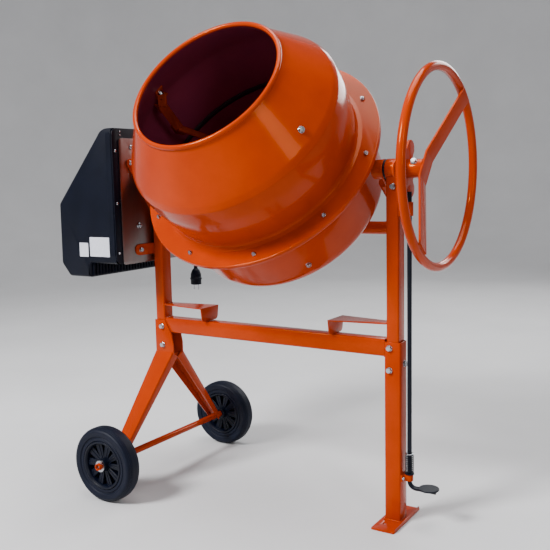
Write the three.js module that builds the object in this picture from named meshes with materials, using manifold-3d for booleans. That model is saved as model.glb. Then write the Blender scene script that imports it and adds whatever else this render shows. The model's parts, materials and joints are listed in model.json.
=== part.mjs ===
// Tilting-drum concrete mixer, in millimetres, +Z up.
// The working frame has x = 0 midway between the two uprights (motor side -X, handwheel side +X),
// y = 0 in the plane of the uprights (the drum's mouth leans towards -Y) and z = 0 on the ground.
import * as THREE from "three";
import { mergeVertices } from "three/addons/utils/BufferGeometryUtils.js";
import Module from "manifold-3d";

const wasm = await Module();
wasm.setup();

// ---------------------------------------------------------------- driving dimensions
const GAP = 0.3; // left between pieces that touch
const CENTRE_X = -63.15; // middle of the mixer's box, which the part's origin stands under
const CENTRE_Y = -41.77;

const TRUNNION_Z = 942; // height of the tilt axis
const DRUM_LEAN_DEG = 51.5; // lean of the drum's axis from upright at rest
const UPRIGHT_X = 395; // middle of each upright
const UPRIGHT_WIDTH = 35; // along X
const UPRIGHT_DEPTH = 41; // along Y
const TUBE_WALL = 2;
const UPRIGHT_TOP = 924;
const BEAM_TOP = 498;
const BEAM_BOTTOM = 452;
const LEG_SIZE = 45; // square outer tube of the lower leg
const LEG_WALL = 1.7;
const LEG_TOP = 492;

const HOUSING_RADIUS = 27; // bearing housings on top of the uprights
const HOUSING_BORE = 20;
const TRUNNION_RADIUS = 15;
const TRUNNION_BORE = 10.4; // the pinion shaft runs through the motor side trunnion
const SHAFT_RADIUS = 10;

const WHEEL_RADIUS = 110;
const WHEEL_WIDTH = 52;
const HALF_TRACK = 290; // frame plane to the wheel's middle
const AXLE_X = -387;
const AXLE_RADIUS = 10;
const AXLE_HALF_LENGTH = 330;

const HANDWHEEL_RADIUS = 247; // to the middle of the rim tube
const HANDWHEEL_X = 517;
const HANDWHEEL_TUBE = 11.5;
const HUB_END_X = 475.7;

const DRUM_X = 4; // the drum hangs this far off the middle, towards the handwheel
const SHEET = 3; // drum wall
const RING_TEETH = 108;
const PINION_TEETH = 12;
const GEAR_FACE_IN = 330.3; // gear teeth run between these two radii of the drum
const GEAR_FACE_OUT = 343.3;
const PITCH_LEVEL = ((GEAR_FACE_IN + GEAR_FACE_OUT) / 2) * (PINION_TEETH / RING_TEETH);

const LOCK_ROD_X = 434.5;
const LOCK_ROD_RADIUS = 6;

const CASE_HALF_WIDTH = 175; // motor case along Y
const PLATE_X = -418.1; // face of the steel drive plate towards the upright
const MOTOR_Z = 760;
const MOTOR_PULLEY_RADIUS = 11;
const DRIVE_PULLEY_RADIUS = 125;
const BELT_X = -442; // middle of the belt's plane

// ---------------------------------------------------------------- materials
const paint = new THREE.MeshStandardMaterial({ color: 0xc85000, roughness: 0.22, metalness: 0 });
const blackPlastic = new THREE.MeshStandardMaterial({ color: 0x14161a, roughness: 0.45, metalness: 0 });
const rubber = new THREE.MeshStandardMaterial({ color: 0x17181a, roughness: 0.8, metalness: 0 });
const zinc = new THREE.MeshStandardMaterial({ color: 0xb8bcc2, roughness: 0.3, metalness: 1 });
const castIron = new THREE.MeshStandardMaterial({ color: 0x4b4a48, roughness: 0.6, metalness: 0.8 });
const blackSteel = new THREE.MeshStandardMaterial({ color: 0x1a1b1e, roughness: 0.4, metalness: 0.6 });
const steelPlate = new THREE.MeshStandardMaterial({ color: 0x8d8a86, roughness: 0.35, metalness: 1 });
const motorPaint = new THREE.MeshStandardMaterial({ color: 0x6f757c, roughness: 0.5, metalness: 0.4 });
const greenPlastic = new THREE.MeshStandardMaterial({ color: 0x1c8a3a, roughness: 0.4, metalness: 0 });
const redPlastic = new THREE.MeshStandardMaterial({ color: 0xb01c1c, roughness: 0.4, metalness: 0 });

// ---------------------------------------------------------------- shape helpers
const radians = THREE.MathUtils.degToRad;

// The same closed surface with its corners merged and its faces turned outwards, mirrored or not.
function facingOut(geometry) {
  const positions = new THREE.BufferGeometry();
  positions.setAttribute("position", geometry.getAttribute("position"));
  if (geometry.index) positions.setIndex(geometry.index);
  const merged = mergeVertices(positions, 1e-3);
  const corners = merged.index.array;
  const corner = (i) => new THREE.Vector3().fromBufferAttribute(merged.attributes.position, corners[i]);
  let volume = 0;
  for (let i = 0; i < corners.length; i += 3) {
    volume += corner(i).dot(corner(i + 1).cross(corner(i + 2)));
  }
  if (volume < 0) corners.reverse();
  return merged;
}

// A closed three.js geometry as a manifold-3d solid.
function toSolid(geometry) {
  const merged = facingOut(geometry);
  return new wasm.Manifold(
    new wasm.Mesh({
      numProp: 3,
      vertProperties: merged.attributes.position.array,
      triVerts: new Uint32Array(merged.index.array),
    }),
  );
}

// A manifold-3d solid as a three.js geometry.
function toGeometry(solid) {
  const mesh = solid.getMesh();
  const geometry = new THREE.BufferGeometry();
  geometry.setAttribute("position", new THREE.BufferAttribute(new Float32Array(mesh.vertProperties), 3));
  geometry.setIndex(new THREE.BufferAttribute(new Uint32Array(mesh.triVerts), 1));
  return geometry;
}

function joined(geometries) {
  return toGeometry(geometries.map(toSolid).reduce((whole, piece) => whole.add(piece)));
}

function cut(geometry, tools) {
  return toGeometry(tools.map(toSolid).reduce((whole, tool) => whole.subtract(tool), toSolid(geometry)));
}

// A box between two corners.
function block(low, high) {
  const size = high.map((value, i) => value - low[i]);
  const middle = high.map((value, i) => (value + low[i]) / 2);
  return new THREE.BoxGeometry(...size).translate(...middle);
}

// A geometry that was made along +Z, turned to run along +X.
function alongX(geometry) {
  return geometry.rotateY(Math.PI / 2);
}

// A geometry that was made along +Z, turned to run along -Y, with its own Y now along Z.
function alongMinusY(geometry) {
  return geometry.rotateX(Math.PI / 2);
}

// A shape drawn flat and given thickness along +Z; a full circle in it gets the stated number of sides.
function extruded(shape, from, to, circleSides = 16) {
  const options = { depth: to - from, bevelEnabled: false, curveSegments: circleSides / 2 };
  return new THREE.ExtrudeGeometry(shape, options).translate(0, 0, from);
}

function circlePath(radius, clockwise = false) {
  return new THREE.Path().absarc(0, 0, radius, 0, 2 * Math.PI, clockwise);
}

// A solid or hollow round bar along +Z.
function roundBar(radius, from, to, bore = 0, sides = 24) {
  const shape = new THREE.Shape().absarc(0, 0, radius, 0, 2 * Math.PI, false);
  if (bore > 0) shape.holes.push(circlePath(bore, true));
  return extruded(shape, from, to, sides);
}

// A closed outline of [radius, z] points turned about the Z axis.
function turned(outline, segments = 32) {
  const points = outline.map(([radius, z]) => new THREE.Vector2(radius, z));
  const onAxis = outline[0][0] === 0 && outline.at(-1)[0] === 0;
  if (!onAxis) points.push(points[0].clone());
  return new THREE.LatheGeometry(points, segments).rotateX(Math.PI / 2);
}

// Points of an arc about (x, y), angles in degrees, both ends included.
function arc(x, y, radius, fromDeg, toDeg, steps) {
  return Array.from({ length: steps + 1 }, (_, i) => {
    const angle = radians(fromDeg + ((toDeg - fromDeg) * i) / steps);
    return [x + radius * Math.cos(angle), y + radius * Math.sin(angle)];
  });
}

function polygon(points) {
  return new THREE.Shape(points.map(([x, y]) => new THREE.Vector2(x, y)));
}

function roundedRectangle(width, height, radius, steps = 3) {
  const x = width / 2 - radius;
  const y = height / 2 - radius;
  return polygon([
    ...arc(x, y, radius, 0, 90, steps),
    ...arc(-x, y, radius, 90, 180, steps),
    ...arc(-x, -y, radius, 180, 270, steps),
    ...arc(x, -y, radius, 270, 360, steps),
  ]);
}

// A rectangular tube along +Z with rounded edges, open at both ends.
function boxTube(width, depth, wall, from, to) {
  const shape = roundedRectangle(width, depth, 4);
  const hole = roundedRectangle(width - 2 * wall, depth - 2 * wall, 2, 2);
  shape.holes.push(new THREE.Path(hole.getPoints()));
  return extruded(shape, from, to);
}

// A path whose even steps land exactly on its own stations, so that a sweep has no more than it needs.
class StationPath extends THREE.Curve {
  constructor(stations) {
    super();
    this.stations = stations.map((point) => new THREE.Vector3(...point));
  }

  getPoint(t) {
    const place = t * (this.stations.length - 1);
    const index = Math.min(Math.floor(place + 1e-9), this.stations.length - 2);
    return this.stations[index].clone().lerp(this.stations[index + 1], place - index);
  }

  getPointAt(u) {
    return this.getPoint(u);
  }

  getTangentAt(u) {
    const index = Math.round(u * (this.stations.length - 1));
    const before = this.stations[Math.max(index - 1, 0)];
    const after = this.stations[Math.min(index + 1, this.stations.length - 1)];
    return after.clone().sub(before).normalize();
  }
}

// A round bar swept through stations.
function sweptBar(stations, radius, sides) {
  const shape = new THREE.Shape().absarc(0, 0, radius, 0, 2 * Math.PI, false);
  return new THREE.ExtrudeGeometry(shape, {
    extrudePath: new StationPath(stations),
    steps: stations.length - 1,
    curveSegments: sides / 2,
  });
}

// A solid between two four-cornered ends, whose corners run the same way round.
function tapered(near, far) {
  const corners = [...near, ...far].map((point) => new THREE.Vector3(...point));
  const faces = [[0, 3, 2, 1], [4, 5, 6, 7], [0, 1, 5, 4], [1, 2, 6, 5], [2, 3, 7, 6], [3, 0, 4, 7]];
  const place = (order) => order.flatMap((i) => corners[i].toArray());
  const positions = faces.flatMap(([a, b, c, d]) => place([a, b, c, a, c, d]));
  const geometry = new THREE.BufferGeometry();
  geometry.setAttribute("position", new THREE.Float32BufferAttribute(positions, 3));
  return geometry;
}

function named(name, geometry, material) {
  const mesh = new THREE.Mesh(facingOut(geometry), material);
  mesh.name = name;
  return mesh;
}

// ---------------------------------------------------------------- standing frame
const housingCutter = (x) =>
  alongX(roundBar(HOUSING_RADIUS + GAP, -UPRIGHT_WIDTH, UPRIGHT_WIDTH, 0, 28)).translate(x, 0, TRUNNION_Z);

function upright(name, x, bottom) {
  const tube = boxTube(UPRIGHT_WIDTH, UPRIGHT_DEPTH, TUBE_WALL, bottom, UPRIGHT_TOP).translate(x, 0, 0);
  return named(name, cut(tube, [housingCutter(x)]), paint);
}

function crossBeam() {
  const height = BEAM_TOP - BEAM_BOTTOM;
  const left = -UPRIGHT_X + UPRIGHT_WIDTH / 2 + GAP;
  const right = UPRIGHT_X - LEG_SIZE / 2 - GAP;
  const tube = alongX(boxTube(height, UPRIGHT_DEPTH, TUBE_WALL, left, right));
  return named("cross_beam", tube.translate(0, 0, (BEAM_TOP + BEAM_BOTTOM) / 2), paint);
}

const FOOT_THICKNESS = 4;

function supportLeg() {
  const tube = boxTube(LEG_SIZE, LEG_SIZE, LEG_WALL, FOOT_THICKNESS + GAP, LEG_TOP);
  return named("support_leg", tube.translate(UPRIGHT_X, 0, 0), paint);
}

function footPlate() {
  const halfWidth = 33;
  const halfLength = 90;
  const lipHeight = 11;
  const lipThickness = 3;
  const boltHole = { x: -12, y: 47, radius: 5.5 };
  const shape = roundedRectangle(2 * halfWidth, 2 * halfLength, 4);
  for (const y of [-boltHole.y, boltHole.y]) {
    shape.holes.push(new THREE.Path().absarc(boltHole.x, y, boltHole.radius, 0, 2 * Math.PI, true));
  }
  const plate = extruded(shape, 0, FOOT_THICKNESS, 12);
  const lipLow = [halfWidth - lipThickness, -halfLength + 6, 0];
  const lipHigh = [halfWidth, halfLength - 6, lipHeight];
  return named("foot_plate", joined([plate, block(lipLow, lipHigh)]).translate(UPRIGHT_X, 0, 0), paint);
}

// A flat rest welded to the inside of an upright, wider and folded down onto the beam at its free end.
function sideRest(name, side) {
  const top = 541;
  const reach = 162;
  const thickness = 3;
  const halfAtPost = UPRIGHT_DEPTH / 2;
  const halfAtEnd = 44;
  const flapHalf = 40;
  const corner = 14;
  const flapHeight = top - BEAM_TOP - GAP;
  const sheet = polygon([[0, -halfAtPost], [reach, -halfAtEnd], [reach, halfAtEnd], [0, halfAtPost]]);
  const plate = extruded(sheet, top - thickness, top);
  const flapOutline = polygon([
    [-halfAtEnd, flapHeight],
    ...arc(-flapHalf + corner, corner, corner, 180, 270, 4),
    ...arc(flapHalf - corner, corner, corner, 270, 360, 4),
    [halfAtEnd, flapHeight],
  ]);
  const flap = extruded(flapOutline, 0, thickness)
    .rotateX(Math.PI / 2)
    .rotateZ(Math.PI / 2)
    .translate(reach - thickness, 0, top - flapHeight);
  const rest = joined([plate, flap]);
  if (side > 0) rest.rotateZ(Math.PI);
  const post = UPRIGHT_X - UPRIGHT_WIDTH / 2 - GAP;
  return named(name, rest.translate(side * post, 0, 0), paint);
}

const HOUSING_INNER_X = 376.3;

function bearingHousing(name, side) {
  const outer = side > 0 ? 413 : UPRIGHT_X + UPRIGHT_WIDTH / 2;
  const sleeve = roundBar(HOUSING_RADIUS, HOUSING_INNER_X, outer, HOUSING_BORE, 28);
  return named(name, alongX(sleeve).scale(side, 1, 1).translate(0, 0, TRUNNION_Z), paint);
}

function trunnionBush(name, side) {
  const bore = TRUNNION_RADIUS + GAP;
  const sleeve = HOUSING_BORE - GAP;
  const outline = [[bore, 370], [26.5, 370], [26.5, 376], [sleeve, 376], [sleeve, 411], [bore, 411]];
  const bush = alongX(turned(outline, 28)).scale(side, 1, 1);
  return named(name, bush.translate(0, 0, TRUNNION_Z), blackPlastic);
}

// ---------------------------------------------------------------- wheel stand
const APEX = { y: 24.2, z: 391 }; // outer face of each stand leg where it leaves the upright
const LEG_END = { y: 250, z: 108 };
const STAND_LEFT = -414.5;

// A pressed leg: a flat plate bolted to the upright, running into a tapering open channel.
function standLeg(name, side) {
  const sheet = 3;
  const back = APEX.y - sheet;
  const plateOutline = polygon([
    [STAND_LEFT, 491], [-376, 491], [-352, 450], [-345, 417], [-345, 385], [-352, 372], [STAND_LEFT, 380],
  ]);
  const plate = alongMinusY(extruded(plateOutline, back, APEX.y));
  const run = Math.hypot(LEG_END.y - APEX.y, LEG_END.z - APEX.z);
  const inward = { y: (APEX.z - LEG_END.z) / run, z: -(LEG_END.y - APEX.y) / run };
  const at = (along, right, depth, skin) => {
    const y = APEX.y + (LEG_END.y - APEX.y) * along;
    const z = APEX.z + (LEG_END.z - APEX.z) * along;
    const place = (x, d) => [x, -y + inward.y * d, z + inward.z * d];
    const left = STAND_LEFT + skin;
    return [place(left, skin), place(right - skin, skin), place(right - skin, depth), place(left, depth)];
  };
  const outer = tapered(at(0, -348, 30, 0), at(1, -374, 15, 0));
  const inner = tapered(at(-0.02, -348, 60, sheet), at(1.02, -374, 40, sheet));
  const axleRoom = alongMinusY(roundBar(AXLE_RADIUS + GAP, 0, AXLE_HALF_LENGTH));
  const channel = cut(outer, [inner, axleRoom.translate(AXLE_X, 0, WHEEL_RADIUS)]);
  const leg = joined([plate, channel]);
  return named(name, side < 0 ? leg : leg.scale(1, -1, 1), paint);
}

function standSpacer() {
  const half = APEX.y - 3 - GAP;
  return named("stand_spacer", block([-360, -half, 366], [-356, half, 384]), paint);
}

function axle() {
  const tube = roundBar(AXLE_RADIUS, -AXLE_HALF_LENGTH, AXLE_HALF_LENGTH, 7.5, 20);
  return named("axle", alongMinusY(tube).translate(AXLE_X, 0, WHEEL_RADIUS), paint);
}

const RIM_SEAT = 72;

function wheelRim(name, side) {
  const spokeCount = 10;
  const hub = roundBar(18, -28, 28, AXLE_RADIUS + GAP, 20);
  const hoop = turned([[62, -20], [RIM_SEAT, -20], [RIM_SEAT, 20], [62, 20]], 30);
  const spokes = Array.from({ length: spokeCount }, (_, i) =>
    block([16, -4, -15], [64, 4, 15]).rotateZ((2 * Math.PI * i) / spokeCount),
  );
  const web = roundBar(66, -3, 3, 14, 30);
  const rim = alongMinusY(joined([hub, hoop, web, ...spokes]));
  return named(name, rim.translate(AXLE_X, side * HALF_TRACK, WHEEL_RADIUS), blackPlastic);
}

function tyre(name, side) {
  const half = WHEEL_WIDTH / 2;
  const seat = RIM_SEAT + GAP;
  const shoulder = WHEEL_RADIUS - 3;
  const outline = [
    [seat, -20], [84, -24], [98, -half], [shoulder, -19], [WHEEL_RADIUS, -10],
    [WHEEL_RADIUS, 10], [shoulder, 19], [98, half], [84, 24], [seat, 20],
  ];
  const body = alongMinusY(turned(outline, 30));
  return named(name, body.translate(AXLE_X, side * HALF_TRACK, WHEEL_RADIUS), rubber);
}

// ---------------------------------------------------------------- yoke, in the drum's leaning frame
// There the trunnion axis is still X, and the drum's axis is Z with the mouth upwards.
const YOKE_TUBE = 19;
const YOKE_ARM_X = 350;
const YOKE_BOTTOM = -268;
const STUB_RADIUS = 12.5;

function yoke() {
  const bend = 90;
  const corner = YOKE_ARM_X - bend;
  const armTop = -50;
  const right = arc(corner, YOKE_BOTTOM + bend, bend, 0, -90, 6);
  const left = arc(-corner, YOKE_BOTTOM + bend, bend, -90, -180, 6);
  const route = [[YOKE_ARM_X, armTop], ...right, ...left, [-YOKE_ARM_X, armTop]];
  const tube = sweptBar(route.map(([x, z]) => [x, 0, z]), YOKE_TUBE, 12);
  const cheekShape = polygon([...arc(0, 0, 26, 0, 180, 10), [-26, -96], [-14, -112], [14, -112], [26, -96]]);
  const cheek = () => extruded(cheekShape, 0, 7).rotateX(Math.PI / 2).rotateZ(Math.PI / 2);
  const boss = roundBar(24, YOKE_BOTTOM - 24, YOKE_BOTTOM + 24).translate(DRUM_X, 0, 0);
  const body = joined([
    tube,
    boss,
    cheek().translate(362.7, 0, 0),
    cheek().translate(-369.7, 0, 0),
    alongX(roundBar(26, 338, 369.7)),
    alongX(roundBar(26, -369.7, -353)),
    alongX(roundBar(TRUNNION_RADIUS, 345, HUB_END_X)),
    alongX(roundBar(TRUNNION_RADIUS, -411.7, -355)),
  ]);
  const shaftBore = alongX(roundBar(TRUNNION_BORE, -420, -340));
  const stubBore = roundBar(STUB_RADIUS + GAP, YOKE_BOTTOM - 30, YOKE_BOTTOM + 30).translate(DRUM_X, 0, 0);
  return named("yoke", cut(body, [shaftBore, stubBore]), paint);
}

function drumStub() {
  const low = YOKE_BOTTOM - 24 - GAP;
  const outline = [[0, low - 14], [19, low - 14], [19, low], [STUB_RADIUS, low], [STUB_RADIUS, -160], [0, -160]];
  return named("drum_stub_axle", turned(outline, 24), zinc);
}

// ---------------------------------------------------------------- drum, in the same leaning frame
const FLANGE_TOP = 57;
const FLANGE_RADIUS = 354.6;
const DRUM_FLOOR = -154;
const FLOOR_RADIUS = 251; // where the wall starts to curve up
const DRUM_SEGMENTS = 40;

// Flange, waist, belly and cone of the upper half, as [radius, z] on the outside of the sheet.
const UPPER_WALL = [[306, FLANGE_TOP], [296.5, 61.5], [293, 70], [303, 130], [307, 180], [306, 218], [298, 237]];

function drumUpper() {
  const lipBottom = 45;
  const under = FLANGE_TOP - SHEET;
  const bead = { radius: 206.3, z: 356, round: 6.5 };
  const inside = UPPER_WALL.slice(1).map(([radius, z]) => [radius - SHEET, z]);
  const outline = [
    [FLANGE_RADIUS - SHEET, lipBottom],
    [FLANGE_RADIUS, lipBottom],
    [FLANGE_RADIUS, FLANGE_TOP - 3],
    [FLANGE_RADIUS - 3, FLANGE_TOP],
    ...UPPER_WALL,
    ...arc(bead.radius, bead.z, bead.round, -46, 200, 5),
    [203.5, 349],
    ...inside.reverse(),
    [305, under],
    [FLANGE_RADIUS - SHEET, under],
  ];
  return named("drum_upper", turned(outline, DRUM_SEGMENTS), paint);
}

// A flat seal between the flanges, with a bead that shows as a black line inside the drum.
function drumGasket() {
  const outline = [[334, 52.3], [334, 53.7], [303.5, 53.7], [292.8, 60.5], [289.3, 68], [290.1, 76], [286, 76],
    [284.5, 66], [288, 55], [296, 50], [301.6, 50], [301.6, 52.3]];
  return named("drum_gasket", turned(outline, DRUM_SEGMENTS), rubber);
}

function drumLower() {
  const flange = { radius: 336, top: 52 };
  const corner = { radius: FLOOR_RADIUS, z: DRUM_FLOOR + 50, round: 50 };
  const outline = [
    ...arc(corner.radius, corner.z, corner.round, 270, 360, 4),
    [305, 40],
    [311, flange.top - SHEET],
    [flange.radius, flange.top - SHEET],
    [flange.radius, flange.top],
    [302, flange.top],
    [302, 40],
    ...arc(corner.radius, corner.z, corner.round - SHEET, 360, 270, 4),
  ];
  return named("drum_lower", turned(outline, DRUM_SEGMENTS), paint);
}

// The flat round bottom, welded into the rounded foot of the wall.
function drumFloor() {
  const rim = FLOOR_RADIUS - GAP;
  const outline = [[0, DRUM_FLOOR], [rim, DRUM_FLOOR], [rim, DRUM_FLOOR + SHEET], [0, DRUM_FLOOR + SHEET]];
  return named("drum_floor", turned(outline, DRUM_SEGMENTS), paint);
}

const TOOTH = { above: 5.3, below: 6.7, halfWidth: 4.2, slope: Math.tan(radians(20)) };

// The crown gear: teeth stand down from a flat ring and mesh with the pinion on the trunnion axis.
function ringGear() {
  const plateBottom = 45.1;
  const rim = GEAR_FACE_OUT + 0.3;
  const plate = turned([[316, plateBottom], [rim, plateBottom], [rim, 48.7], [316, 48.7]], DRUM_SEGMENTS);
  const tipLevel = PITCH_LEVEL - TOOTH.above;
  const rootLevel = plateBottom + 1;
  const tipHalf = TOOTH.halfWidth - TOOTH.above * TOOTH.slope;
  const rootHalf = TOOTH.halfWidth + (rootLevel - PITCH_LEVEL) * TOOTH.slope;
  const section = polygon([[-rootHalf, rootLevel], [-tipHalf, tipLevel], [tipHalf, tipLevel], [rootHalf, rootLevel]]);
  const tooth = extruded(section, GEAR_FACE_IN, GEAR_FACE_OUT - 1).rotateX(Math.PI / 2).rotateZ(Math.PI / 2);
  const teeth = Array.from({ length: RING_TEETH }, (_, i) =>
    tooth.clone().rotateZ((2 * Math.PI * (i + 0.5)) / RING_TEETH),
  );
  return named("ring_gear", joined([plate, ...teeth]), castIron);
}

// A bent flat bar inside the drum with two paddles, bolted to the cone near the mouth and to the lower wall.
const BLADE_ROUTE = [
  { radius: 258, turn: 163, z: 256 },
  { radius: 248, turn: 168, z: 240 },
  { radius: 244, turn: 169, z: 155 },
  { radius: 205, turn: 156, z: 50 },
  { radius: 284, turn: 126, z: -86 },
];

function mixingBlade(name, turnDeg) {
  const place = ({ radius, turn, z }) => {
    const angle = radians(turn + turnDeg);
    return new THREE.Vector3(radius * Math.cos(angle), radius * Math.sin(angle), z);
  };
  const corners = BLADE_ROUTE.map(place);
  const bars = corners.slice(1).map((end, i) => {
    const start = corners[i];
    const bar = block([-13, -2.5, -3], [13, 2.5, start.distanceTo(end) + 3]);
    const turn = new THREE.Matrix4().lookAt(end, start, new THREE.Vector3(0, 0, 1));
    return bar.applyMatrix4(turn).translate(...start.toArray());
  });
  const paddles = BLADE_ROUTE.slice(1, 3).map(({ radius, turn, z }) =>
    block([radius - 4, -2, z - 30], [radius + 34, 2, z + 2]).rotateZ(radians(turn + turnDeg)),
  );
  const foot = block([-2, -14, -20], [2, 14, 20])
    .rotateY(-Math.atan2(95, 119))
    .translate(270, 0, 262)
    .rotateZ(radians(162 + turnDeg));
  const tab = block([250, -13, 250], [278, 13, 254]).rotateZ(radians(162.5 + turnDeg));
  return named(name, joined([foot, tab, ...bars, ...paddles]), paint);
}

function drumHub() {
  const top = DRUM_FLOOR - GAP;
  const outline = [[26.2, top], [26.2, -238], [38, -238], [38, -176], [44, top - 8], [82, top - 6], [82, top]];
  return named("drum_hub", turned(outline.reverse(), 32), castIron);
}

function drumBearing(name, z) {
  const bore = STUB_RADIUS + GAP;
  return named(name, roundBar(25.9, z, z + 15, bore, 24), zinc);
}

// ---------------------------------------------------------------- tilt handwheel and lock
function handwheelRim() {
  const rim = alongX(new THREE.TorusGeometry(HANDWHEEL_RADIUS, HANDWHEEL_TUBE, 8, 40));
  return named("handwheel_rim", rim.translate(HANDWHEEL_X, 0, TRUNNION_Z), paint);
}

// One flat bar across the wheel, cranked outwards from the hub and lapping the rim's inner side.
function handwheelSpokes() {
  const barWidth = 48;
  const thickness = 4;
  const flatHalf = 38;
  const hubFace = HUB_END_X + GAP;
  const end = HANDWHEEL_RADIUS - 7;
  const endFace = HANDWHEEL_X + 10.2;
  const near = [[-end, endFace], [-flatHalf, hubFace], [flatHalf, hubFace], [end, endFace]];
  const far = near.map(([s, x]) => [s, x + thickness]).reverse();
  const bar = extruded(polygon([...near, ...far]), -barWidth / 2, barWidth / 2);
  // The outline's own axes are (along the bar, X); stand it up across the wheel at its rest angle.
  bar.applyMatrix4(new THREE.Matrix4().set(0, 1, 0, 0, 1, 0, 0, 0, 0, 0, -1, 0, 0, 0, 0, 1));
  bar.rotateX(radians(52));
  return named("handwheel_spokes", bar.translate(0, 0, TRUNNION_Z), paint);
}

const DISC_FACE_IN = 420.5;
const DISC_FACE_OUT = 426.5;

function handwheelHub() {
  const hub = roundBar(24, DISC_FACE_OUT + GAP, HUB_END_X, TRUNNION_RADIUS + GAP, 24);
  return named("handwheel_hub", alongX(hub).translate(0, 0, TRUNNION_Z), paint);
}

// Six round lobes with a notch between each pair; a notch faces down over the lock rod.
function lockDisc() {
  const lobes = 6;
  const lobeCentre = 59;
  const lobeRadius = 23;
  const base = 52;
  const reach = (angle) => {
    const pitch = (2 * Math.PI) / lobes;
    const offset = angle - Math.round(angle / pitch) * pitch;
    const across = lobeCentre * Math.sin(offset);
    if (Math.abs(across) > lobeRadius) return base;
    return Math.max(base, lobeCentre * Math.cos(offset) + Math.sqrt(lobeRadius ** 2 - across ** 2));
  };
  const points = Array.from({ length: 60 }, (_, i) => {
    const angle = (2 * Math.PI * i) / 60;
    return [reach(angle) * Math.cos(angle), reach(angle) * Math.sin(angle)];
  });
  const shape = polygon(points);
  shape.holes.push(circlePath(TRUNNION_RADIUS + GAP, true));
  const plate = extruded(shape, DISC_FACE_IN, DISC_FACE_OUT, 24).rotateZ(Math.PI / lobes);
  const disc = alongX(plate);
  return named("lock_disc", disc.translate(0, 0, TRUNNION_Z), paint);
}

const ROD_TOP = 884;
const PEDAL_Z = 98;

// The lock rod runs down the leg and bends out under a pedal plate.
function lockRod() {
  const bend = 18;
  const corner = arc(LOCK_ROD_X + bend, PEDAL_Z + bend, bend, 180, 270, 4);
  const route = [[LOCK_ROD_X, ROD_TOP], ...corner, [508, PEDAL_Z]];
  const rod = sweptBar(route.map(([x, z]) => [x, 0, z]), LOCK_ROD_RADIUS, 12);
  const plate = roundBar(27, PEDAL_Z + 4, PEDAL_Z + 8, 0, 24).translate(489, 0, 0);
  const crossPin = alongMinusY(roundBar(2, -11, 11, 0, 8)).translate(LOCK_ROD_X, 0, 196.5);
  return named("lock_rod", joined([rod, plate, crossPin]), blackSteel);
}

// A strap folded round the rod and bolted flat against the post.
function rodGuide(name, face, bottom, top) {
  const loop = LOCK_ROD_RADIUS + 4;
  const outline = polygon([
    [face, -21], [face + 4, -21], [face + 4, -loop], ...arc(LOCK_ROD_X, 0, loop, -90, 90, 8),
    [face + 4, loop], [face + 4, 14], [face, 14],
  ]);
  outline.holes.push(new THREE.Path().absarc(LOCK_ROD_X, 0, LOCK_ROD_RADIUS + 0.6, 0, 2 * Math.PI, true));
  return named(name, extruded(outline, bottom, top, 16), paint);
}

const SPRING_BOTTOM = 138.5;
const SPRING_TOP = 190;

function springSeat() {
  const seat = roundBar(12.5, SPRING_BOTTOM - 4, SPRING_BOTTOM - GAP, LOCK_ROD_RADIUS + 0.6, 20);
  return named("spring_seat", seat.translate(LOCK_ROD_X, 0, 0), blackSteel);
}

function lockSpring() {
  const sleeve = roundBar(10, SPRING_BOTTOM, SPRING_TOP, LOCK_ROD_RADIUS + 1, 16);
  return named("lock_spring", sleeve.translate(LOCK_ROD_X, 0, 0), zinc);
}

function springWasher() {
  const washer = roundBar(11, SPRING_TOP + GAP, SPRING_TOP + 2.8, LOCK_ROD_RADIUS + GAP, 20);
  return named("spring_washer", washer.translate(LOCK_ROD_X, 0, 0), zinc);
}

// ---------------------------------------------------------------- drive
const DRIVE_PLATE_BACK = PLATE_X - 3;
const PANEL_FACE = DRIVE_PLATE_BACK - GAP;
const PANEL_BACK = PANEL_FACE - 3;

function motorStrap() {
  const strap = polygon([
    ...arc(82, 0, 17, -90, 90, 6),
    ...arc(-82, 0, 17, 90, 270, 6),
  ]);
  const bar = alongX(extruded(strap, PLATE_X + GAP, -412.8).rotateZ(Math.PI / 2));
  return named("motor_strap_lower", bar.translate(0, 0, 716), paint);
}

// Two arms of one plate, spreading up from the upright to the top bolts of the drive plate.
function motorArms() {
  const rise = { y: 108, z: 979 };
  const foot = { y: 16, z: 846 };
  const half = 13;
  const length = Math.hypot(rise.y - foot.y, rise.z - foot.z);
  const lean = Math.atan2(rise.y - foot.y, rise.z - foot.z);
  const arm = (side) => {
    const shape = polygon([[-half, -20], [half, -20], ...arc(0, length, half, 0, 180, 6)]);
    const bar = extruded(shape, PLATE_X + GAP, -412.8);
    bar.applyMatrix4(new THREE.Matrix4().set(0, 0, 1, 0, 1, 0, 0, 0, 0, 1, 0, 0, 0, 0, 0, 1));
    return bar.rotateX(-side * lean).translate(0, side * foot.y, foot.z);
  };
  const root = block([PLATE_X + GAP, -17, 822], [-412.8, 17, 862]);
  return named("motor_arms_upper", joined([arm(-1), arm(1), root]), paint);
}

function drivePlate() {
  const plate = roundedRectangle(376, 298, 10);
  plate.holes.push(new THREE.Path().absarc(-78, 0, 17, 0, 2 * Math.PI, true));
  const sheet = alongX(extruded(plate, DRIVE_PLATE_BACK, PLATE_X, 20));
  return named("drive_plate", sheet.translate(0, 0, 864), steelPlate);
}

const CASE_STEP = { x: -534, z: 680 };
const CASE_TOP = 1081;
const CASE_WALL = 3;

// Side outline of the case as [x, z], shrunk inwards by a wall, open towards the panel.
function caseOutline(shrink, mouth) {
  const s = shrink;
  return polygon([
    [mouth, CASE_STEP.z + s],
    [mouth, CASE_TOP - s],
    ...arc(-448, CASE_TOP - 40, 40 - s, 90, 148, 4),
    ...arc(-636, 853, 20 - s, 148, 180, 2),
    ...arc(-636, 683, 22 - s, 180, 215, 2),
    ...arc(-618, 650, 14 - s, 215, 270, 2),
    [CASE_STEP.x - s, 636 + s],
    [CASE_STEP.x - s, CASE_STEP.z + s],
  ]);
}

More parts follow.
